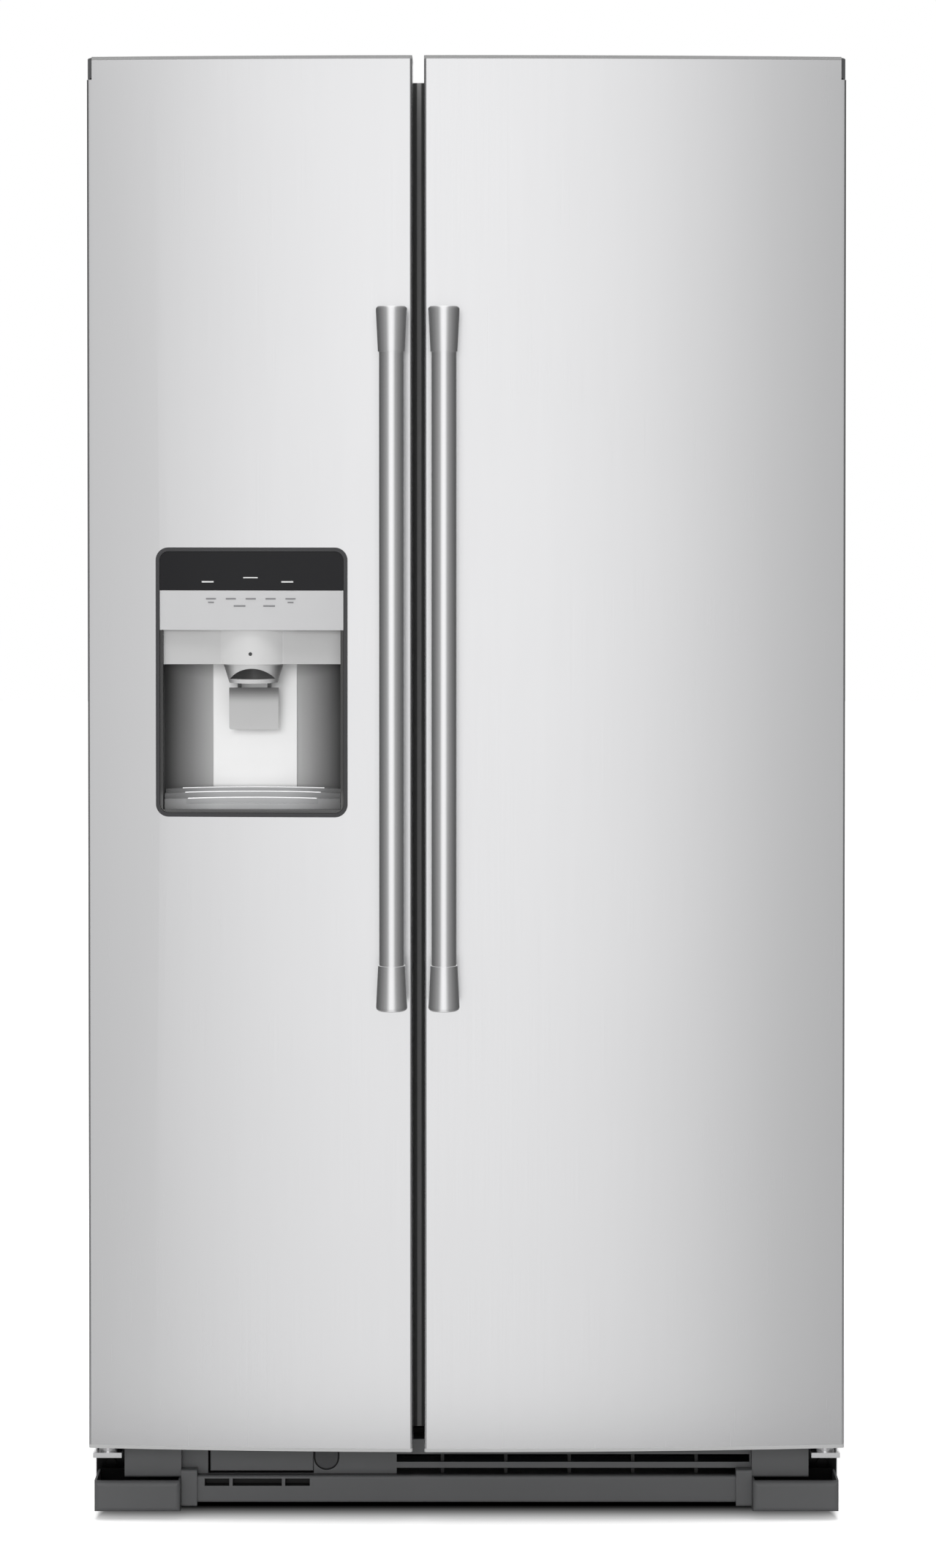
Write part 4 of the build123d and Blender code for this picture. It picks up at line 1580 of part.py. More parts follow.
# Water inlet valve on its stand
with BuildPart() as water_valve:
    valve_back = BACK_Y - INLET_LENGTH
    half = VALVE_BODY[0] / 2
    valve_x = (VALVE_X - half, VALVE_X + half)
    valve_z = (VALVE_Z - VALVE_BODY[2] / 2, VALVE_Z + VALVE_BODY[2] / 2)
    block(valve_x, (valve_back - VALVE_BODY[1], valve_back), valve_z)
    stand_x = inside(valve_x, half / 2)
    block(stand_x, (valve_back - VALVE_BODY[1], valve_back), (PAN_TOP, valve_z[0]))
    rod((VALVE_X, valve_back, VALVE_Z), INLET_RADIUS, INLET_LENGTH, "Y")
save(water_valve.part, "water_valve")
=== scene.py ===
# %% [markdown]
# # A side by side refrigerator, dressed for its picture
# The shapes come from a CAD model that is loaded as a fixed frame. This file gives every piece its
# finish, adds the small things that a drawing leaves out, and sets up a plain white studio.
# All lengths are metres, +X is to the right when facing the doors, +Y goes back and +Z goes up.

# %% Load the frame
import bpy
from math import pi, radians, tan
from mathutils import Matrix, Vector


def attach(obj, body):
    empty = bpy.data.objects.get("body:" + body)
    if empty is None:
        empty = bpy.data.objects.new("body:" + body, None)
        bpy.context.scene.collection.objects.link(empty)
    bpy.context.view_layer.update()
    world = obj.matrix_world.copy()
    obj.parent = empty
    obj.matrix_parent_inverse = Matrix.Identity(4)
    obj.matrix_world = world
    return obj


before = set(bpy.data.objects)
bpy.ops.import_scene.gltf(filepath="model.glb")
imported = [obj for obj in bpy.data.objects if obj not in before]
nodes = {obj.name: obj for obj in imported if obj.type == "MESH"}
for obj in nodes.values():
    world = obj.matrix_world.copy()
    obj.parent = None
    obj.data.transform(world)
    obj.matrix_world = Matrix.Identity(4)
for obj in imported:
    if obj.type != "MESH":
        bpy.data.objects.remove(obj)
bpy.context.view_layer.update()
scene = bpy.context.scene

# %% [markdown]
# ## The camera
# The photograph was taken almost square on, from a little above the middle of the doors. Its lines
# stay upright, so most of the framing is done with the lens shift instead of a tilt, as with a
# technical camera. A tilt alone would make the doors narrower towards the floor. The numbers below
# were worked out from the door edges and the floor line.

# %% Camera
PHOTO_WIDTH, PHOTO_HEIGHT = 1280, 2144
FOCAL_PIXELS = 4641.0
SENSOR = 36.0
HORIZON_PIXEL = 641.5
MIDDLE_PIXEL = 638.0
EYE_HEIGHT = 1.257
EYE_DISTANCE = 4.0
DOOR_FRONT = -0.3695
PITCH = radians(0.9)

lens = bpy.data.cameras.new("camera")
lens.sensor_fit = "VERTICAL"
lens.sensor_height = SENSOR
lens.lens = SENSOR * FOCAL_PIXELS / PHOTO_HEIGHT
lens.shift_x = (PHOTO_WIDTH / 2 - MIDDLE_PIXEL) / PHOTO_HEIGHT
lens.shift_y = (HORIZON_PIXEL + FOCAL_PIXELS * tan(PITCH) - PHOTO_HEIGHT / 2) / PHOTO_HEIGHT
camera = bpy.data.objects.new("camera", lens)
camera.location = (0.0, DOOR_FRONT - EYE_DISTANCE, EYE_HEIGHT)
camera.rotation_euler = (pi / 2 - PITCH, 0.0, 0.0)
scene.collection.objects.link(camera)
scene.camera = camera
print("lens", round(lens.lens, 2), "mm, shift", round(lens.shift_x, 4), round(lens.shift_y, 4))

# %% [markdown]
# ## Writing shaders as sums
# A node tree is easier to read as arithmetic. `Wire` holds one output socket, and its operators add
# Math nodes. The reflected forms let a plain number stand first, as in `1.0 - mask`.

# %% Sockets in sums
class Wire:
    """One output socket that can be used in sums."""

    def __init__(self, tree, socket):
        self.tree = tree
        self.socket = socket

    def math(self, operation, first, second=None):
        """Add one Math node."""
        values = [first] if second is None else [first, second]
        return self.tree.node("ShaderNodeMath", {"operation": operation}, dict(enumerate(values)))

    def __add__(self, other):
        return self.math("ADD", self, other)

    def __radd__(self, other):
        return self.math("ADD", other, self)

    def __sub__(self, other):
        return self.math("SUBTRACT", self, other)

    def __rsub__(self, other):
        return self.math("SUBTRACT", other, self)

    def __mul__(self, other):
        return self.math("MULTIPLY", self, other)

    def __rmul__(self, other):
        return self.math("MULTIPLY", other, self)

    def size(self):
        """Absolute value."""
        return self.math("ABSOLUTE", self)

    def most(self, other):
        """The larger of two values."""
        return self.math("MAXIMUM", self, other)


print("sums ready")

# %% [markdown]
# ## One method for every node
# `Tree.node` adds any node: its settings first, because they can change which sockets it has, and
# then what its sockets are given. The other methods are the few combinations that the finishes
# need again and again: noise, one coordinate, a smooth ramp, mixed colours and a bump.

# %% Shader tree
class Tree:
    """A node tree under construction."""

    def __init__(self, tree):
        self.tree = tree
        self.tree.nodes.clear()

    def node(self, kind, settings=None, sockets=None, output=0):
        """Add a node, set it up, connect it and return one of its outputs."""
        made = self.tree.nodes.new(kind)
        for name, value in (settings or {}).items():
            if name == "stops":
                self.set_stops(made.color_ramp, value)
            else:
                setattr(made, name, value)
        for name, value in (sockets or {}).items():
            if isinstance(value, Wire):
                self.tree.links.new(value.socket, made.inputs[name])
            else:
                made.inputs[name].default_value = value
        return Wire(self, made.outputs[output]) if len(made.outputs) else None

    def set_stops(self, ramp, stops):
        """Give a colour ramp its stops: position and grey."""
        while len(ramp.elements) < len(stops):
            ramp.elements.new(0.5)
        for element, (place, grey) in zip(ramp.elements, stops):
            element.position = place
            element.color = (grey, grey, grey, 1.0)

    def noise(self, stretch, detail=3.0):
        """Noise from 0 to 1 on Object coordinates, with a scale on each axis."""
        place = self.node("ShaderNodeTexCoord", output="Object")
        stretched = self.node("ShaderNodeMapping", {}, {"Vector": place, "Scale": stretch})
        sockets = {"Vector": stretched, "Scale": 1.0, "Detail": detail}
        return self.node("ShaderNodeTexNoise", {}, sockets)

    def axis(self, name):
        """One of the Object coordinates: X, Y or Z."""
        place = self.node("ShaderNodeTexCoord", output="Object")
        return self.node("ShaderNodeSeparateXYZ", {}, {0: place}, name)

    def ramp(self, value, low, high, start=0.0, end=1.0):
        """One level up to a limit, another from a second limit on, and smooth between."""
        limits = {"From Min": low, "From Max": high, "To Min": start, "To Max": end}
        smooth = {"interpolation_type": "SMOOTHSTEP"}
        return self.node("ShaderNodeMapRange", smooth, {0: value, **limits})

    def tone(self, colour, other, amount):
        """A colour that moves towards another by an amount."""
        sockets = {"Factor": amount, 6: colour, 7: other}
        return self.node("ShaderNodeMix", {"data_type": "RGBA"}, sockets, 2)

    def tint(self, colour, grey):
        """A colour times a grey."""
        sockets = {"Factor": 1.0, 6: colour, 7: grey}
        multiply = {"data_type": "RGBA", "blend_type": "MULTIPLY"}
        return self.node("ShaderNodeMix", multiply, sockets, 2)

    def bump(self, height, strength, distance):
        """Normal from a height."""
        sockets = {"Height": height, "Strength": strength, "Distance": distance}
        return self.node("ShaderNodeBump", {}, sockets)


print("tree methods ready")

# %% [markdown]
# ## One shader for every finish
# All the finishes below are one Principled shader with different values. `finish` takes what is the
# same all over a piece as plain numbers, and a function that builds what varies over its surface.

# %% Finish helper
def rgba(grey_or_colour):
    """Four numbers for a colour socket."""
    if isinstance(grey_or_colour, tuple):
        return (*grey_or_colour, 1.0)
    return (grey_or_colour, grey_or_colour, grey_or_colour, 1.0)


def shaded(colour, factor):
    """A colour made lighter or darker, for a colour socket."""
    return rgba(tuple(min(1.0, part * factor) for part in rgba(colour)[:3]))


def finish(name, sockets, varying):
    """Material with one Principled shader: constants, then what varies over the surface."""
    material = bpy.data.materials.new(name)
    material.use_nodes = True
    tree = Tree(material.node_tree)
    shader = tree.node("ShaderNodeBsdfPrincipled", {}, {**sockets, **varying(tree)})
    tree.node("ShaderNodeOutputMaterial", {}, {"Surface": shader})
    return material


print("finish helper ready")

# %% [markdown]
# ## The studio
# The page behind the object is plain white. What the steel mirrors is the same white room, but it
# is brightest behind the camera and falls off to both sides and towards the ground, as a room with
# one broad soft window behind the photographer does. The bowed doors spread that window into the
# soft bright band along the middle. Real softboxes would do it too, but a ramp in the world is
# smooth everywhere, and one list of stops shapes the whole band.

# %% World
ROOM_STOPS = [(0.0, 1.0), (0.16, 1.0), (0.28, 0.30), (0.42, 0.29)]
ROOM_STOPS += [(0.64, 0.19), (0.92, 0.09), (1.0, 0.09)]
ROOM_LEVEL = 1.16
WINDOW_SHIFT = 0.02
LOW_DIRECTIONS = (-0.32, -0.06)
LOW_LEVEL = 0.80
AMBIENT_LEVEL = 0.75

world = bpy.data.worlds.new("studio")
world.use_nodes = True
scene.world = world
room = Tree(world.node_tree)
direction = room.node("ShaderNodeTexCoord", output="Generated")
across = room.node("ShaderNodeSeparateXYZ", {}, {0: direction}, "X")
upward = room.node("ShaderNodeSeparateXYZ", {}, {0: direction}, "Z")
turned = (across + WINDOW_SHIFT).size()
window = room.node("ShaderNodeValToRGB", {"stops": ROOM_STOPS}, {0: turned})
bright = room.tint(window, room.ramp(upward, *LOW_DIRECTIONS, LOW_LEVEL, 1.0))
mirrored_room = room.node("ShaderNodeBackground", {}, {"Color": bright, "Strength": ROOM_LEVEL})
ambient = room.node("ShaderNodeBackground", {}, {"Color": rgba(1.0), "Strength": AMBIENT_LEVEL})
page = room.node("ShaderNodeBackground", {}, {"Color": rgba(1.0), "Strength": 1.0})
seen = room.node("ShaderNodeLightPath", output="Is Camera Ray")
glossy = room.node("ShaderNodeLightPath", output="Is Glossy Ray")
through = room.node("ShaderNodeLightPath", output="Is Transmission Ray")
lit = room.node("ShaderNodeMixShader", {}, {0: glossy, 1: ambient, 2: mirrored_room})
whole = room.node("ShaderNodeMixShader", {}, {0: seen.most(through), 1: lit, 2: page})
room.node("ShaderNodeOutputWorld", {}, {"Surface": whole})
print("room level", ROOM_LEVEL, "ambient", AMBIENT_LEVEL)

# %% [markdown]
# ## The lamps
# One large lamp overhead gives the soft shadow under the doors and the base, and one weak lamp
# beside the camera reaches into the dispenser. Neither is seen in the steel, because the room above
# already gives the steel all that it mirrors.

# %% Lamps
def lamp(name, place, target, width, height, power):
    """Soft rectangular lamp that points at a target and isn't mirrored."""
    light = bpy.data.lights.new(name, "AREA")
    light.shape = "RECTANGLE"
    light.size = width
    light.size_y = height
    light.energy = power
    item = bpy.data.objects.new(name, light)
    item.location = place
    item.rotation_euler = (Vector(target) - Vector(place)).to_track_quat("-Z", "Y").to_euler()
    item.visible_glossy = False
    scene.collection.objects.link(item)


overhead = {"place": (0.0, -0.9, 4.2), "target": (0.0, -0.3, 0.6)}
beside_camera = {"place": (-0.9, -4.6, 1.9), "target": (0.0, -0.3, 1.0)}
lamp("overhead", **overhead, width=3.4, height=2.4, power=150.0)
lamp("beside_camera", **beside_camera, width=1.8, height=1.4, power=80.0)
scene.view_settings.view_transform = "Standard"
print("lamps", len(bpy.data.lights))

# %% [markdown]
# ## The floor
# The floor is a plain pale sheet that runs into the page and keeps the shadow. It is one square
# face, far larger than the picture shows, so that no edge is seen from any side.

# %% Floor sheet
FLOOR_HALF = 14.0
floor_mesh = bpy.data.meshes.new("floor")
corners = [(-FLOOR_HALF, -FLOOR_HALF, 0), (FLOOR_HALF, -FLOOR_HALF, 0)]
corners += [(FLOOR_HALF, FLOOR_HALF, 0), (-FLOOR_HALF, FLOOR_HALF, 0)]
floor_mesh.from_pydata(corners, [], [(0, 1, 2, 3)])
floor = bpy.data.objects.new("floor", floor_mesh)
scene.collection.objects.link(floor)
print("floor", 2 * FLOOR_HALF, "m wide")

# %% [markdown]
# A camera ray sees the sheet lifted to the white of the page, more so away from the object. Far in
# front of the object the steel sees through the sheet to the white room, so that both halves of the
# doors mirror one window. Near the base the steel sees a dull grey instead: painted shade, which
# darkens the foot of the doors. Right under the cabinet the sheet is painted black, as a painted
# shadow where hardly any light gets there.

# %% Floor look
CLEAR_IN_FRONT = (-0.95, -0.45)
UNDER_SIDE = (0.43, 0.45)
UNDER_FRONT = (-0.345, -0.270)
UNDER_BACK = (0.42, 0.46)
FLOOR_GREY = 0.80
MIRRORED_SHADE_GREY = 0.25
LIFT_REACH = (0.45, 1.4)
LIFT_LEVELS = (0.42, 0.85)

floor_look = bpy.data.materials.new("pale_floor")
floor_look.use_nodes = True
sheet = Tree(floor_look.node_tree)
to_camera = sheet.node("ShaderNodeLightPath", output="Is Camera Ray")
to_steel = sheet.node("ShaderNodeLightPath", output="Is Glossy Ray")
depth = sheet.axis("Y")
in_front = sheet.ramp(depth, *CLEAR_IN_FRONT, 1.0, 0.0)
beside = sheet.ramp(sheet.axis("X").size(), *UNDER_SIDE)
# Painted shadow makes the sheet black under the cabinet, and painted shade makes it dull grey to the
# steel near the base.
clear_of_painted_shadow = beside.most(1.0 - sheet.ramp(depth, *UNDER_FRONT)).most(sheet.ramp(depth, *UNDER_BACK))
pale = sheet.tint(sheet.tone(rgba(FLOOR_GREY), rgba(MIRRORED_SHADE_GREY), to_steel), clear_of_painted_shadow)
plain = sheet.node("ShaderNodeBsdfDiffuse", {}, {"Color": pale})
spot = sheet.node("ShaderNodeTexCoord", output="Object")
away = sheet.node("ShaderNodeVectorMath", {"operation": "LENGTH"}, {0: spot}, "Value")
page_lift = to_camera * sheet.ramp(away, *LIFT_REACH, *LIFT_LEVELS) * clear_of_painted_shadow
lift = sheet.node("ShaderNodeEmission", {}, {"Color": page_lift, "Strength": 1.0})
lifted = sheet.node("ShaderNodeAddShader", {}, {0: plain, 1: lift})
clear = sheet.node("ShaderNodeBsdfTransparent")
mixed = sheet.node("ShaderNodeMixShader", {}, {0: to_steel * in_front, 1: lifted, 2: clear})
sheet.node("ShaderNodeOutputMaterial", {}, {"Surface": mixed})
floor_mesh.materials.append(floor_look)
print("floor lifted by", LIFT_LEVELS[0], "to", LIFT_LEVELS[1])

# %% [markdown]
# ## Brushed steel
# The doors are stainless sheet, brushed upright with an abrasive belt, so fine lines run along one
# axis. They could be a picture or an anisotropic shader. Here they are noise on Object coordinates,
# stretched along that axis: it has a real size, needs no file and stays put when a door swings.
# A shadow mask can turn part of a piece black, for places that hardly any light reaches.

# %% Brushed steel
def grain(along, lengthwise, crosswise):
    """Noise scale for lines along one axis: per metre along it and across it."""
    return tuple(lengthwise if axis == along else crosswise for axis in "XYZ")


def brushed_steel(name, colour, rough, along, shadow=None):
    """Steel with fine grain lines along one axis, black where a shadow mask says so."""

    def varying(tree):
        lines = tree.noise(grain(along, 6.0, 1900.0), 2.0)
        bands = tree.noise(grain(along, 1.2, 60.0), 3.0)
        smudge = tree.noise((5.0, 5.0, 5.0), 4.0)
        shade = tree.tone(shaded(colour, 0.994), shaded(colour, 1.006), bands)
        if shadow:
            shade = tree.tone(shade, rgba(0.015), shadow(tree))
        rough_here = lines * 0.05 + smudge * 0.02 + (rough - 0.035)
        normal = tree.bump(lines, 0.02, 0.0001)
        return {"Base Color": shade, "Roughness": rough_here, "Normal": normal}

    return finish(name, {"Metallic": 1.0}, varying)


print("brushed steel ready")

# %% [markdown]
# ## Polished handles
# The handles are drawn steel bar, polished bright, with faint marks along their length. A round bar
# would squeeze the whole room into thin stripes. These bars have a flatter front, so the normal
# leans towards the front of the door, and it turns with the door when that swings.

# %% Polished steel
def polished_steel(name, colour, rough, flatness):
    """Bright drawn bar with faint draw marks, a little flattened towards the front."""

    def varying(tree):
        spaces = {"vector_type": "VECTOR", "convert_from": "OBJECT", "convert_to": "WORLD"}
        forward = tree.node("ShaderNodeVectorTransform", spaces, {0: (0.0, -flatness, 0.0)})
        normal = tree.node("ShaderNodeNewGeometry", output="Normal")
        leaning = tree.node("ShaderNodeVectorMath", {"operation": "ADD"}, {0: normal, 1: forward})
        flatter = tree.node("ShaderNodeVectorMath", {"operation": "NORMALIZE"}, {0: leaning})
        marks = tree.noise((900.0, 900.0, 2.0), 2.0)
        haze = tree.noise((14.0, 14.0, 4.0), 3.0)
        shade = tree.tone(shaded(colour, 0.95), shaded(colour, 1.04), haze)
        rough_here = marks * 0.05 + haze * 0.05 + (rough - 0.05)
        return {"Base Color": shade, "Roughness": rough_here, "Normal": flatter}

    return finish(name, {"Metallic": 1.0}, varying)


print("polished steel ready")

# %% [markdown]
# ## Paint and zinc
# The cabinet is painted sheet, and baked paint dries with a faint orange peel: a fine bump. The
# chassis and the rear panel are galvanised, and zinc freezes into flat crystals, each with its own
# grey. A Voronoi texture gives one random colour for each cell, which is just that.

# %% Paint and zinc
def paint(name, colour, rough, peel, pattern=None):
    """Baked paint with a faint orange peel, and perhaps a pattern of tones."""

    def varying(tree):
        peaks = tree.noise((420.0, 420.0, 420.0), 2.0)
        cloud = tree.noise((3.0, 3.0, 3.0), 4.0)
        base = pattern(tree) if pattern else rgba(colour)
        return {
            "Base Color": tree.tint(base, tree.tone(rgba(0.95), rgba(1.04), cloud)),
            "Roughness": peaks * 0.08 + cloud * 0.06 + (rough - 0.07),
            "Normal": tree.bump(peaks, peel, 0.0004),
        }

    return finish(name, {}, varying)


def zinc(name, colour, shadow=None):
    """Galvanised sheet with its crystal flowers, black where a shadow mask says so."""

    def varying(tree):
        place = tree.node("ShaderNodeTexCoord", output="Object")
        cell = tree.node("ShaderNodeTexVoronoi", {}, {"Vector": place, "Scale": 75.0}, "Color")
        grey = tree.node("ShaderNodeSeparateColor", {}, {0: cell}, 0)
        dust = tree.noise((24.0, 24.0, 24.0), 4.0)
        crystals = grey * 0.7 + dust * 0.3
        shade = tree.tone(shaded(colour, 0.82), shaded(colour, 1.08), crystals)
        if shadow:
            shade = tree.tone(shade, rgba(0.012), shadow(tree))
        return {"Base Color": shade, "Roughness": grey * 0.22 + dust * 0.12 + 0.30}

    return finish(name, {"Metallic": 0.85}, varying)


print("paint and zinc ready")

# %% [markdown]
# ## Moulded plastic
# Most small pieces are injection moulded. The mould is etched, so the plastic has a fine matt grain,
# and slow streaks show where it flowed. Two noises of very different size give both, and a pattern
# function can replace the one colour by several tones.

# %% Moulded plastic
def moulded(name, colour, rough, grain_scale=600.0, depth=0.12, pattern=None, shine=0.5):
    """Moulded plastic with an etched grain, slight flow marks and perhaps a pattern of tones."""

    def varying(tree):
        etch = tree.noise((grain_scale, grain_scale, grain_scale), 2.0)
        flow = tree.noise((9.0, 9.0, 2.5), 4.0)
        base = pattern(tree) if pattern else rgba(colour)
        return {
            "Base Color": tree.tint(base, tree.tone(rgba(0.94), rgba(1.06), flow)),
            "Roughness": etch * 0.12 + flow * 0.08 + (rough - 0.10),
            "Normal": tree.bump(etch, depth, 0.0003),
        }

    return finish(name, {"Specular IOR Level": shine}, varying)


print("moulded plastic ready")

# %% [markdown]
# ## Crystal plastic, glass and seals
# Bins and drawers are clear plastic, and the shelves are glass with a green edge. True refraction
# would be slow and noisy in thin walls, so Alpha lets the inside show through a glossy skin. The
# door seals are soft grey vinyl, dull and slightly uneven.

# %% Clear plastic and rubber
def clear_plastic(name, colour, alpha):
    """Crystal plastic: pale, glossy and see-through, cloudier where it is worn."""

    def varying(tree):
        wear = tree.noise((30.0, 30.0, 30.0), 4.0)
        return {"Roughness": wear * 0.10 + 0.04, "Alpha": wear * 0.12 + (alpha - 0.06)}

    return finish(name, {"Base Color": rgba(colour), "IOR": 1.5}, varying)


def rubber(name, colour):
    """Soft vinyl of a door seal."""

    def varying(tree):
        dull = tree.noise((120.0, 120.0, 40.0), 3.0)
        shade = tree.tone(shaded(colour, 0.88), shaded(colour, 1.10), dull)
        return {"Base Color": shade, "Roughness": dull * 0.2 + 0.5}

    return finish(name, {}, varying)


print("clear plastic and rubber ready")

# %% [markdown]
# ## Painted shade in the dispenser
# The walls of the dispenser recess are a satin silver, with painted shade that darkens them where
# they curve away from the light and below the tray, and its flat back panel stays bright. Painted
# shade also darkens the inside of the nozzle, its flanks and its lugs, the paddle where it lies in
# the shadow of the nozzle, and the ends of the tray where they lie in that of the walls. More lamps
# could make these shades, but they would also change the doors, so each painted shade is a ramp on
# an Object coordinate.

# %% Dispenser tones
DISPENSER_X = -0.254
RECESS_HALF = 0.12
RECESS_STOPS = [(0.0, 0.82), (0.415, 0.82), (0.425, 0.42), (0.62, 0.22), (0.86, 0.030)]
RECESS_FOOT = (0.868, 0.880)
NOZZLE_Y = -0.32475
BORE_SQUARED = (0.00062, 0.00070)
DRUM_EDGE = (0.035, 0.038)
FLANK_SHADE = (0.018, 0.034)
VISOR_BOTTOM = (1.0235, 1.0255)
LUG_TOP = (1.0022, 1.0032)
PADDLE_SHADE = (0.976, 0.996)
TRAY_SHADE = (0.035, 0.118)


def recess_painted_shade(tree):
    """Bright back panel between walls with painted shade that darkens outwards and below the tray."""
    aside = (tree.axis("X") - DISPENSER_X).size()
    walls = tree.node("ShaderNodeValToRGB", {"stops": RECESS_STOPS}, {0: aside * (1 / RECESS_HALF)})
    return tree.tone(rgba(0.06), walls, tree.ramp(tree.axis("Z"), *RECESS_FOOT))


def nozzle_tones_and_painted_shade(tree):
    """Grey visor and lighter drum, with painted shade on the flanks, inside the nozzle and on the
    lugs.
    """
    aside = tree.axis("X") - DISPENSER_X
    inward = tree.axis("Y") - NOZZLE_Y
    below_visor = 1.0 - tree.ramp(tree.axis("Z"), *VISOR_BOTTOM)
    drum = tree.tone(rgba(0.44), rgba(0.37), tree.ramp(aside.size(), *DRUM_EDGE))
    flanks = tree.tone(drum, rgba(0.10), tree.ramp(aside.size(), *FLANK_SHADE) * below_visor)
    around = tree.ramp(aside * aside + inward * inward, *BORE_SQUARED)
    open_nozzle = tree.tone(rgba(0.12), flanks, around)
    return tree.tone(rgba(0.08), open_nozzle, tree.ramp(tree.axis("Z"), *LUG_TOP))


def paddle_painted_shade(tree):
    """Light grey plate with painted shade that darkens it towards the nozzle."""
    return tree.tone(rgba(0.42), rgba(0.10), tree.ramp(tree.axis("Z"), *PADDLE_SHADE))


def tray_painted_shade(tree):
    """Grey tray, with painted shade at its ends, where the recess walls shade them."""
    aside = (tree.axis("X") - DISPENSER_X).size()
    return tree.tone(rgba((0.34, 0.343, 0.347)), rgba(0.085), tree.ramp(aside, *TRAY_SHADE))


print("dispenser tones ready")

# %% [markdown]
# ## Painted shade on the seam and the door caps
# Through the seam between the doors the steel strip is painted dark on both sides, as painted
# shade, so that only a narrow band of its own grey down the middle looks lit. The strip ends short
# of the cabinet's corners, so this painted shade is carried on over the painted flange. The cap on
# top of each door is given painted shade: a darker grey than the one below it.

# %% Seam and cap tones
SEAM_X = -0.057
LIGHT_BAND_EDGE = (0.0015, 0.0035)
SEAM_EDGE = (0.030, 0.034)
FLANGE_DEPTH = (-0.276, -0.270)
CAP_CHANGE = (0.6, 1.2)


def seam_painted_shade(tree):
    """Painted shade on both sides of a narrow band of the strip's own grey."""
    aside = (tree.axis("X") - SEAM_X).size()
    return tree.tone(rgba(0.30), rgba(0.025), tree.ramp(aside, *LIGHT_BAND_EDGE))


def shell_paint_and_painted_shade(tree):
    """Grey paint, with the seam's painted shade carried over the flange above and below the strip."""
    aside = (tree.axis("X") - SEAM_X).size()
    flange = 1.0 - tree.ramp(tree.axis("Y"), *FLANGE_DEPTH)
    seam = (1.0 - tree.ramp(aside, *SEAM_EDGE)) * flange
    return tree.tone(rgba((0.24, 0.24, 0.245)), seam_painted_shade(tree), seam)


def cap_painted_shade(tree):
    """Painted shade: a darker end cap on top of a door than below it."""
    return tree.tone(rgba(0.34), rgba(0.20), tree.ramp(tree.axis("Z"), *CAP_CHANGE))


print("seam and cap tones ready")

# %% [markdown]
# ## Tones and painted shade of the base
# The base grille is charcoal plastic, and the inside of its louvres and slots is painted black as
# painted shade, since there is only the dark space under the cabinet behind them. The chassis and
# the hinge plates behind it get the same painted black through a shadow mask. The upper part of the
# grille stands a little further back than the bar below it, so its face ends further back too.

# %% Base tones
CHARCOAL = (0.072, 0.073, 0.075)
BAR_TOP = (0.0495, 0.0505)
UPPER_SETBACK = 0.010
BAR_INSIDE = (-0.3168, -0.3155)
DARK_SPACE = (-0.262, -0.240)
ARM_BACK = (-0.298, -0.292)


def grille_painted_shade(tree):
    """Charcoal face, with black painted shade inside the louvres and slots."""
    upper = tree.ramp(tree.axis("Z"), *BAR_TOP)
    inside = tree.ramp(tree.axis("Y") - upper * UPPER_SETBACK, *BAR_INSIDE)
    return tree.tone(rgba(CHARCOAL), rgba(0.004), inside)


def behind_base(tree):
    """1 in the dark behind the base grille, which a painted shadow turns black."""
    return 1.0 - tree.ramp(tree.axis("Y"), *DARK_SPACE)


def behind_arm(tree):
    """1 on the hinge plate behind the bright arm, which a painted shadow turns black."""
    return tree.ramp(tree.axis("Y"), *ARM_BACK)


print("base tones ready")

# %% [markdown]
# ## Which piece has which finish
# Every CAD piece is dressed by name. A material is made once and put on all the pieces that come
# from the same process, as a workshop would order them. The first group is what the closed front
# shows: door skins, handles, hinges, end caps and the dispenser.

# %% Dress the doors
LOOKS = {}
dressed = set()


def dress(look, names=""):
    """Keep a finish by its name and put it on CAD pieces."""
    LOOKS[look.name] = look
    for name in names.split():
        for slot in nodes[name].material_slots:
            slot.material = look
        dressed.add(name)


bars = "freezer_handle_bar freezer_handle_ends fridge_handle_bar fridge_handle_ends"
dress(brushed_steel("door_steel", (0.80, 0.80, 0.81), 0.26, "Z"), "freezer_door_skin fridge_door_skin")
dress(polished_steel("handle_steel", (0.87, 0.87, 0.88), 0.24, 0.9), bars)
dress(moulded("end_plastic", 0.34, 0.45, pattern=cap_painted_shade), "freezer_door_caps fridge_door_caps")
dress(moulded("dark_trim", (0.026, 0.026, 0.028), 0.38), "dispenser_trim")
gloss = moulded("display_gloss", (0.006, 0.006, 0.007), 0.12, 900.0, 0.01, shine=0.22)
dress(gloss, "display_panel")
dress(moulded("keypad_silver", (0.385, 0.385, 0.39), 0.36, 900.0, 0.04), "keypad_strip")
dress(moulded("recess_silver", 0.4, 0.32, pattern=recess_painted_shade), "dispenser_housing")
dress(moulded("nozzle_grey", 0.4, 0.34, pattern=nozzle_tones_and_painted_shade), "ice_chute")
dress(moulded("paddle_grey", 0.4, 0.36, pattern=paddle_painted_shade), "dispenser_paddle")
dress(moulded("tray_grey", 0.2, 0.30, pattern=tray_painted_shade), "drip_tray")
print("dressed", len(dressed), "pieces of the doors")

# %% [markdown]
# The second group is the cabinet with its hinges and its base: painted and galvanised sheet, bright
# hinge steel, and charcoal plastic for all that stands near the floor.

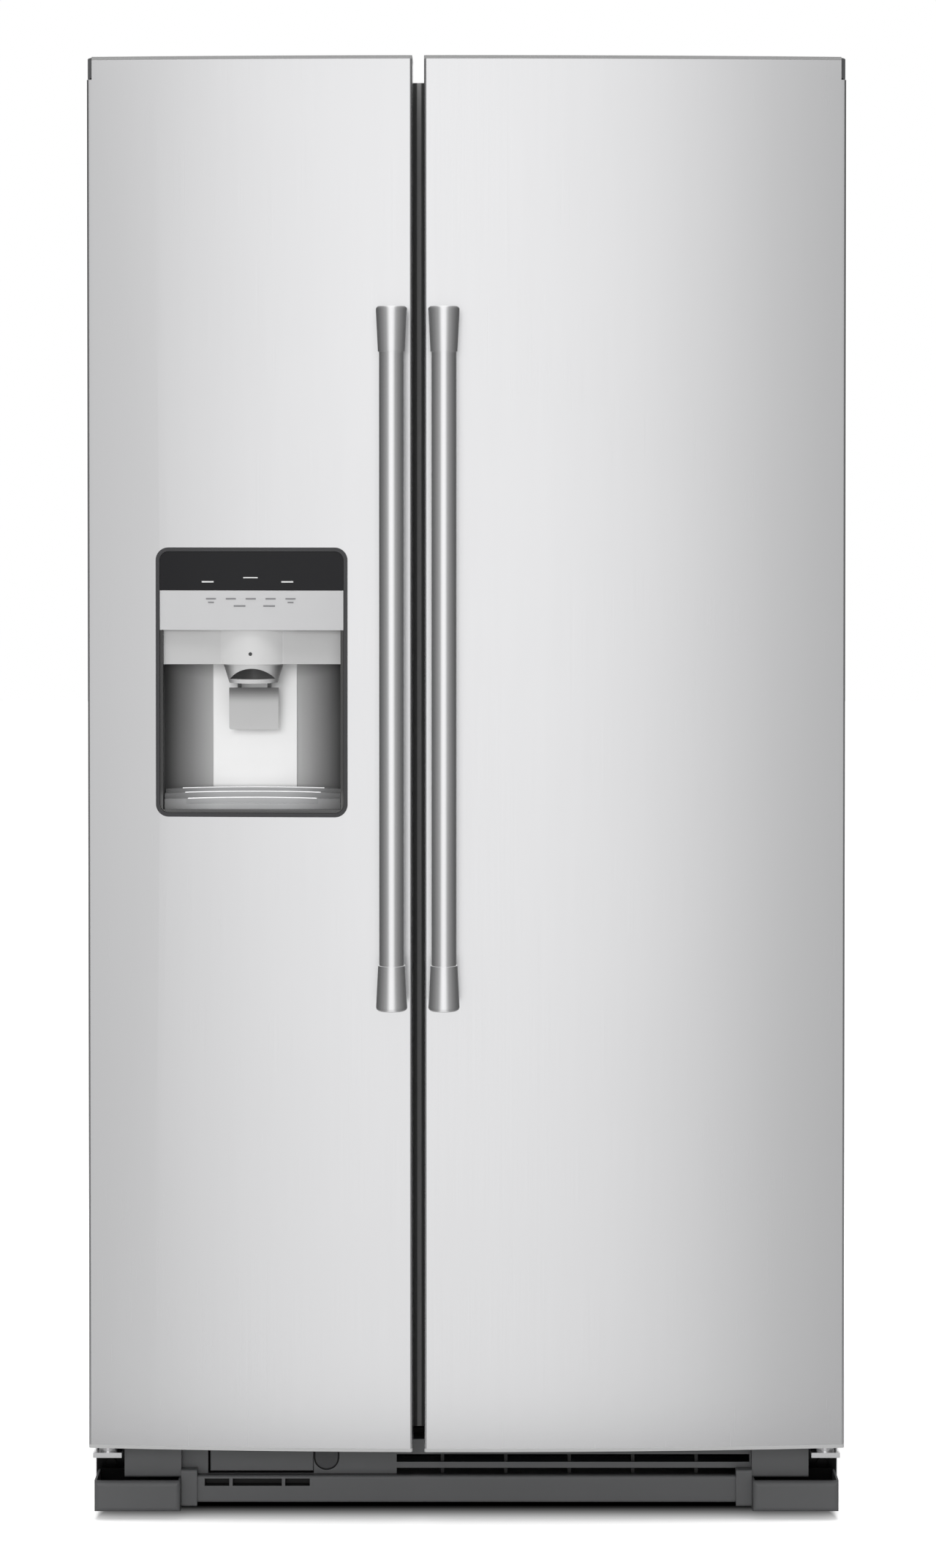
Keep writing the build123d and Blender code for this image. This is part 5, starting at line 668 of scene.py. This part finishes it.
# %% Dress the cabinet and the base
hinges = "top_hinges bottom_hinges hinge_screws"
low_plastic = "hinge_covers foot_covers water_filter leveling_legs rear_rollers"
dress(brushed_steel("hinge_steel", (0.86, 0.86, 0.87), 0.22, "X", behind_arm), hinges)
dress(moulded("charcoal", CHARCOAL, 0.46), low_plastic)
dress(moulded("grille_charcoal", CHARCOAL, 0.46, pattern=grille_painted_shade), "base_grille")
dress(moulded("button_dark", (0.040, 0.040, 0.042), 0.50), "eject_button")
dress(paint("cabinet_grey", 0.24, 0.42, 0.18, shell_paint_and_painted_shade), "cabinet_shell")
dress(paint("seam_strip", 0.3, 0.40, 0.10, seam_painted_shade), "mullion_strip")
dress(zinc("cover_zinc", (0.40, 0.41, 0.42)), "rear_cover")
dress(zinc("pan_zinc", (0.62, 0.63, 0.65), behind_base), "base_pan")
dress(zinc("zinc_sheet", (0.62, 0.63, 0.65)), "rear_panel")
print("dressed", len(dressed), "pieces so far")

# %% [markdown]
# The third group is what shows with the doors open, and what is hidden in the walls and the machine
# bay: white liners, crystal bins and drawers, glass, seals, foam, coils, compressor, fan and valve.

# %% Dress the inside
white = "freezer_liner fridge_liner freezer_door_liner fridge_door_liner drawer_frame control_box"
white += " evaporator_cover shelf_frames freezer_shelves filter_housing"
clear_boxes = "freezer_door_bins fridge_door_bins dairy_cover upper_crisper lower_crisper"
clear_boxes += " freezer_basket ice_bucket"
cores = "cabinet_foam freezer_door_foam fridge_door_foam"
dress(moulded("white_liner", (0.80, 0.81, 0.82), 0.32, 500.0, 0.05), white)
dress(moulded("ice_grey", (0.58, 0.60, 0.62), 0.42), "ice_maker")
dress(rubber("seal_grey", (0.22, 0.22, 0.225)), "freezer_door_gasket fridge_door_gasket")
dress(clear_plastic("crystal", (0.80, 0.87, 0.90), 0.34), clear_boxes)
dress(clear_plastic("shelf_glass", (0.62, 0.80, 0.74), 0.22), "shelf_glass")
dress(moulded("foam", (0.78, 0.70, 0.46), 0.85, 240.0, 0.4), cores)
dress(paint("pump_black", (0.018, 0.018, 0.019), 0.34, 0.25), "compressor condenser_coil")
dress(brushed_steel("coil_alloy", (0.72, 0.73, 0.74), 0.36, "X"), "evaporator_coil")
dress(moulded("fan_black", (0.05, 0.05, 0.053), 0.46), "condenser_fan fan_motor")
dress(moulded("valve_white", (0.72, 0.72, 0.70), 0.42), "water_valve")
print("dressed", len(dressed), "of", len(nodes), "left", sorted(set(nodes) - dressed))

# %% [markdown]
# ## Growing small repeated pieces
# Printed marks, ribs and screw heads repeat along a line or an arc. They could be copied by hand,
# but a Geometry Nodes tree places them from a few named inputs. The inputs are set before the tree
# is first evaluated, and its result is kept as a plain mesh that rides on one body.

# %% Geometry Nodes helper
def grow(name, body, look, inputs, build):
    """Build a tree with named inputs, evaluate it once and keep the plain mesh on a body."""
    group = bpy.data.node_groups.new(name, "GeometryNodeTree")
    group.interface.new_socket("Geometry", in_out="OUTPUT", socket_type="NodeSocketGeometry")
    ways = {}
    for label, value in inputs.items():
        kind = "NodeSocketInt" if isinstance(value, int) else "NodeSocketFloat"
        way = group.interface.new_socket(label, in_out="INPUT", socket_type=kind)
        ways[label] = way.identifier
    tree = Tree(group)
    source = group.nodes.new("NodeGroupInput")
    given = {label: Wire(tree, source.outputs[label]) for label in inputs}
    real = tree.node("GeometryNodeRealizeInstances", {}, {0: build(tree, given)})
    coated = tree.node("GeometryNodeSetMaterial", {}, {"Geometry": real, "Material": LOOKS[look]})
    tree.node("NodeGroupOutput", {}, {0: coated})
    seed = bpy.data.objects.new(name + "_seed", bpy.data.meshes.new(name + "_seed"))
    scene.collection.objects.link(seed)
    modifier = seed.modifiers.new("grow", "NODES")
    modifier.node_group = group
    for label, value in inputs.items():
        modifier[ways[label]] = value
    graph = bpy.context.evaluated_depsgraph_get()
    mesh = bpy.data.meshes.new_from_object(seed.evaluated_get(graph))
    bpy.data.objects.remove(seed)
    piece = bpy.data.objects.new(name, mesh)
    scene.collection.objects.link(piece)
    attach(piece, body)
    print(name, len(mesh.polygons), "faces on", body)


def vector(tree, x, y, z):
    """Three numbers or wires as one vector."""
    return tree.node("ShaderNodeCombineXYZ", {}, {0: x, 1: y, 2: z})


def place_of_point(tree, axis):
    """One coordinate of the point that is being placed."""
    return tree.node("ShaderNodeSeparateXYZ", {}, {0: tree.node("GeometryNodeInputPosition")}, axis)


def line(tree, count, start, step):
    """Points along a straight line."""
    sockets = {"Count": count, "Start Location": start, "Offset": step}
    return tree.node("GeometryNodeMeshLine", {"mode": "OFFSET"}, sockets)


print("grow helper ready")

# %% [markdown]
# ### Printed marks on the dispenser
# The keypad is a printed membrane and the display shows three small lit signs. Plain dashes stand
# for them. A picture would have to be painted, and it would blur close up, so each dash is a thin
# plate. The panels bow with the door, so each dash is moved onto the bow and turned with it.

# %% Dashes
BOW_RADIUS = 5.609
PANEL_FRONT = -0.3705
DASH_DEPTH = 0.0006
ROW_INPUTS = ("First x", "Count", "Pitch", "Length", "Thickness", "Height z")
ROWS = {
    "keypad_row_upper": ("print_grey", -0.3019, 5, 0.02355, 0.0120, 0.0017, 1.1040),
    "keypad_row_lower": ("print_grey", -0.2680, 2, 0.0350, 0.0140, 0.0017, 1.0955),
    "keypad_row_ends": ("print_grey", -0.3019, 2, 0.0942, 0.0070, 0.0015, 1.0998),
    "display_signs": ("print_white", -0.3058, 2, 0.0943, 0.0140, 0.0017, 1.1240),
    "display_middle_sign": ("print_white", -0.2551, 1, 0.01, 0.0170, 0.0013, 1.1290),
}


def dashes(tree, given):
    """A row of flat dashes on the bowed panel."""
    start = vector(tree, given["First x"], 0.0, given["Height z"])
    points = line(tree, given["Count"], start, vector(tree, given["Pitch"], 0.0, 0.0))
    across = place_of_point(tree, "X")
    back = across * across * (0.5 / BOW_RADIUS) + PANEL_FRONT
    onto_bow = {"Geometry": points, "Offset": vector(tree, 0.0, back, 0.0)}
    moved = tree.node("GeometryNodeSetPosition", {}, onto_bow)
    size = vector(tree, given["Length"], DASH_DEPTH, given["Thickness"])
    dash = tree.node("GeometryNodeMeshCube", {}, {"Size": size})
    turn = vector(tree, 0.0, 0.0, across * (1 / BOW_RADIUS))
    sockets = {"Points": moved, "Instance": dash, "Rotation": turn}
    return tree.node("GeometryNodeInstanceOnPoints", {}, sockets)


dress(moulded("print_grey", (0.15, 0.15, 0.155), 0.5))
dress(moulded("print_white", (0.50, 0.50, 0.50), 0.5))
for name, (look, *values) in ROWS.items():
    grow(name, "freezer_door", look, dict(zip(ROW_INPUTS, values)), dashes)

# %% [markdown]
# ### The sensor window
# A small dark window sits in the front of the nozzle drum. It could be a dark spot in the finish of
# the drum, but it is a piece of its own on the real object: a short round pin let into the drum, so
# only its face shows.

# %% Sensor window
LYING = (radians(90), 0.0, 0.0)


def pin(tree, given):
    """A round pin along Y."""
    sizes = {"Vertices": 24, "Radius": given["Radius"], "Depth": given["Length"]}
    upright = tree.node("GeometryNodeMeshCylinder", {}, sizes)
    place = vector(tree, given["Middle x"], given["Middle y"], given["Middle z"])
    moved = {"Geometry": upright, "Translation": place, "Rotation": vector(tree, *LYING)}
    return tree.node("GeometryNodeTransform", {}, moved)


pin_values = {"Radius": 0.0022, "Length": 0.0020}
pin_values.update({"Middle x": -0.2555, "Middle y": -0.3608, "Middle z": 1.0385})
grow("sensor_window", "freezer_door", "dark_trim", pin_values, pin)

# %% [markdown]
# ### Bright edges on the drip tray
# The tray steps down in three curved terraces. Each step has a rounded edge, so a thin round bead
# follows each arc, and its light silver is a painted highlight on that edge. Bevels on the tray would
# be too fine to see from here, while a swept bead has a size of its own.

# %% Tray beads
ARC_START = radians(71.5)
ARC_SWEEP = radians(37.0)


def beads(tree, given):
    """Arcs about one axis, each a step wider than the one before, swept with a round bead."""
    start = vector(tree, DISPENSER_X, given["Axis y"], given["First z"])
    points = line(tree, given["Count"], start, vector(tree, 0.0, 0.0, given["Rise"]))
    over = (place_of_point(tree, "Z") - given["Top z"]).most(0.0)
    level = {"Geometry": points, "Offset": vector(tree, 0.0, 0.0, 0.0 - over)}
    kept = tree.node("GeometryNodeSetPosition", {}, level)
    angles = {"Start Angle": ARC_START, "Sweep Angle": ARC_SWEEP, "Resolution": 40, "Radius": 1.0}
    arc = tree.node("GeometryNodeCurveArc", {"mode": "RADIUS"}, angles)
    wider = tree.node("GeometryNodeInputIndex") * given["Step"] + given["First radius"]
    sockets = {"Points": kept, "Instance": arc, "Scale": wider}
    placed = tree.node("GeometryNodeInstanceOnPoints", {}, sockets)
    real = tree.node("GeometryNodeRealizeInstances", {}, {0: placed})
    ring = {"Resolution": 10, "Radius": given["Bead"]}
    round_bead = tree.node("GeometryNodeCurvePrimitiveCircle", {}, ring)
    swept = {"Curve": real, "Profile Curve": round_bead, "Fill Caps": True}
    return tree.node("GeometryNodeCurveToMesh", {}, swept)


# The light silver of the beads is a painted highlight.
dress(moulded("bead_painted_highlight", (0.78, 0.78, 0.79), 0.25))
bead_values = {"Axis y": -0.57825, "First z": 0.8665, "Rise": 0.006, "Top z": 0.8765, "Count": 3}
bead_values.update({"Step": 0.013, "First radius": 0.2409, "Bead": 0.0009})
grow("tray_beads", "drip_tray", "bead_painted_highlight", bead_values, beads)

# %% [markdown]
# ### Screws at the back
# The rear panel and the cover of the machine bay are held by flat head screws along their edges.
# Each row is a line of points, and one short cylinder is placed on every point.

# %% Rear screws
def screws(tree, given):
    """Two upright rows of flat heads, left and right."""
    heads = {"Vertices": 16, "Radius": given["Radius"], "Depth": given["Head"]}
    head = tree.node("GeometryNodeMeshCylinder", {}, heads)
    rows = tree.node("GeometryNodeJoinGeometry")
    for side in (-1.0, 1.0):
        start = vector(tree, given["Half width"] * side, given["Back y"], given["First z"])
        row = line(tree, given["Count"], start, vector(tree, 0.0, 0.0, given["Pitch"]))
        tree.tree.links.new(row.socket, rows.socket.node.inputs[0])
    sockets = {"Points": rows, "Instance": head, "Rotation": vector(tree, *LYING)}
    return tree.node("GeometryNodeInstanceOnPoints", {}, sockets)


dress(brushed_steel("screw_zinc", (0.90, 0.90, 0.88), 0.30, "X"))
screw_values = {"Radius": 0.005, "Head": 0.0010, "Half width": 0.436, "Back y": 0.4278}
panel_row = {"First z": 0.29, "Count": 8, "Pitch": 0.198}
cover_row = {"First z": 0.06, "Count": 3, "Pitch": 0.075}
grow("panel_screws", "cabinet", "screw_zinc", {**screw_values, **panel_row}, screws)
grow("cover_screws", "cabinet", "screw_zinc", {**screw_values, **cover_row}, screws)
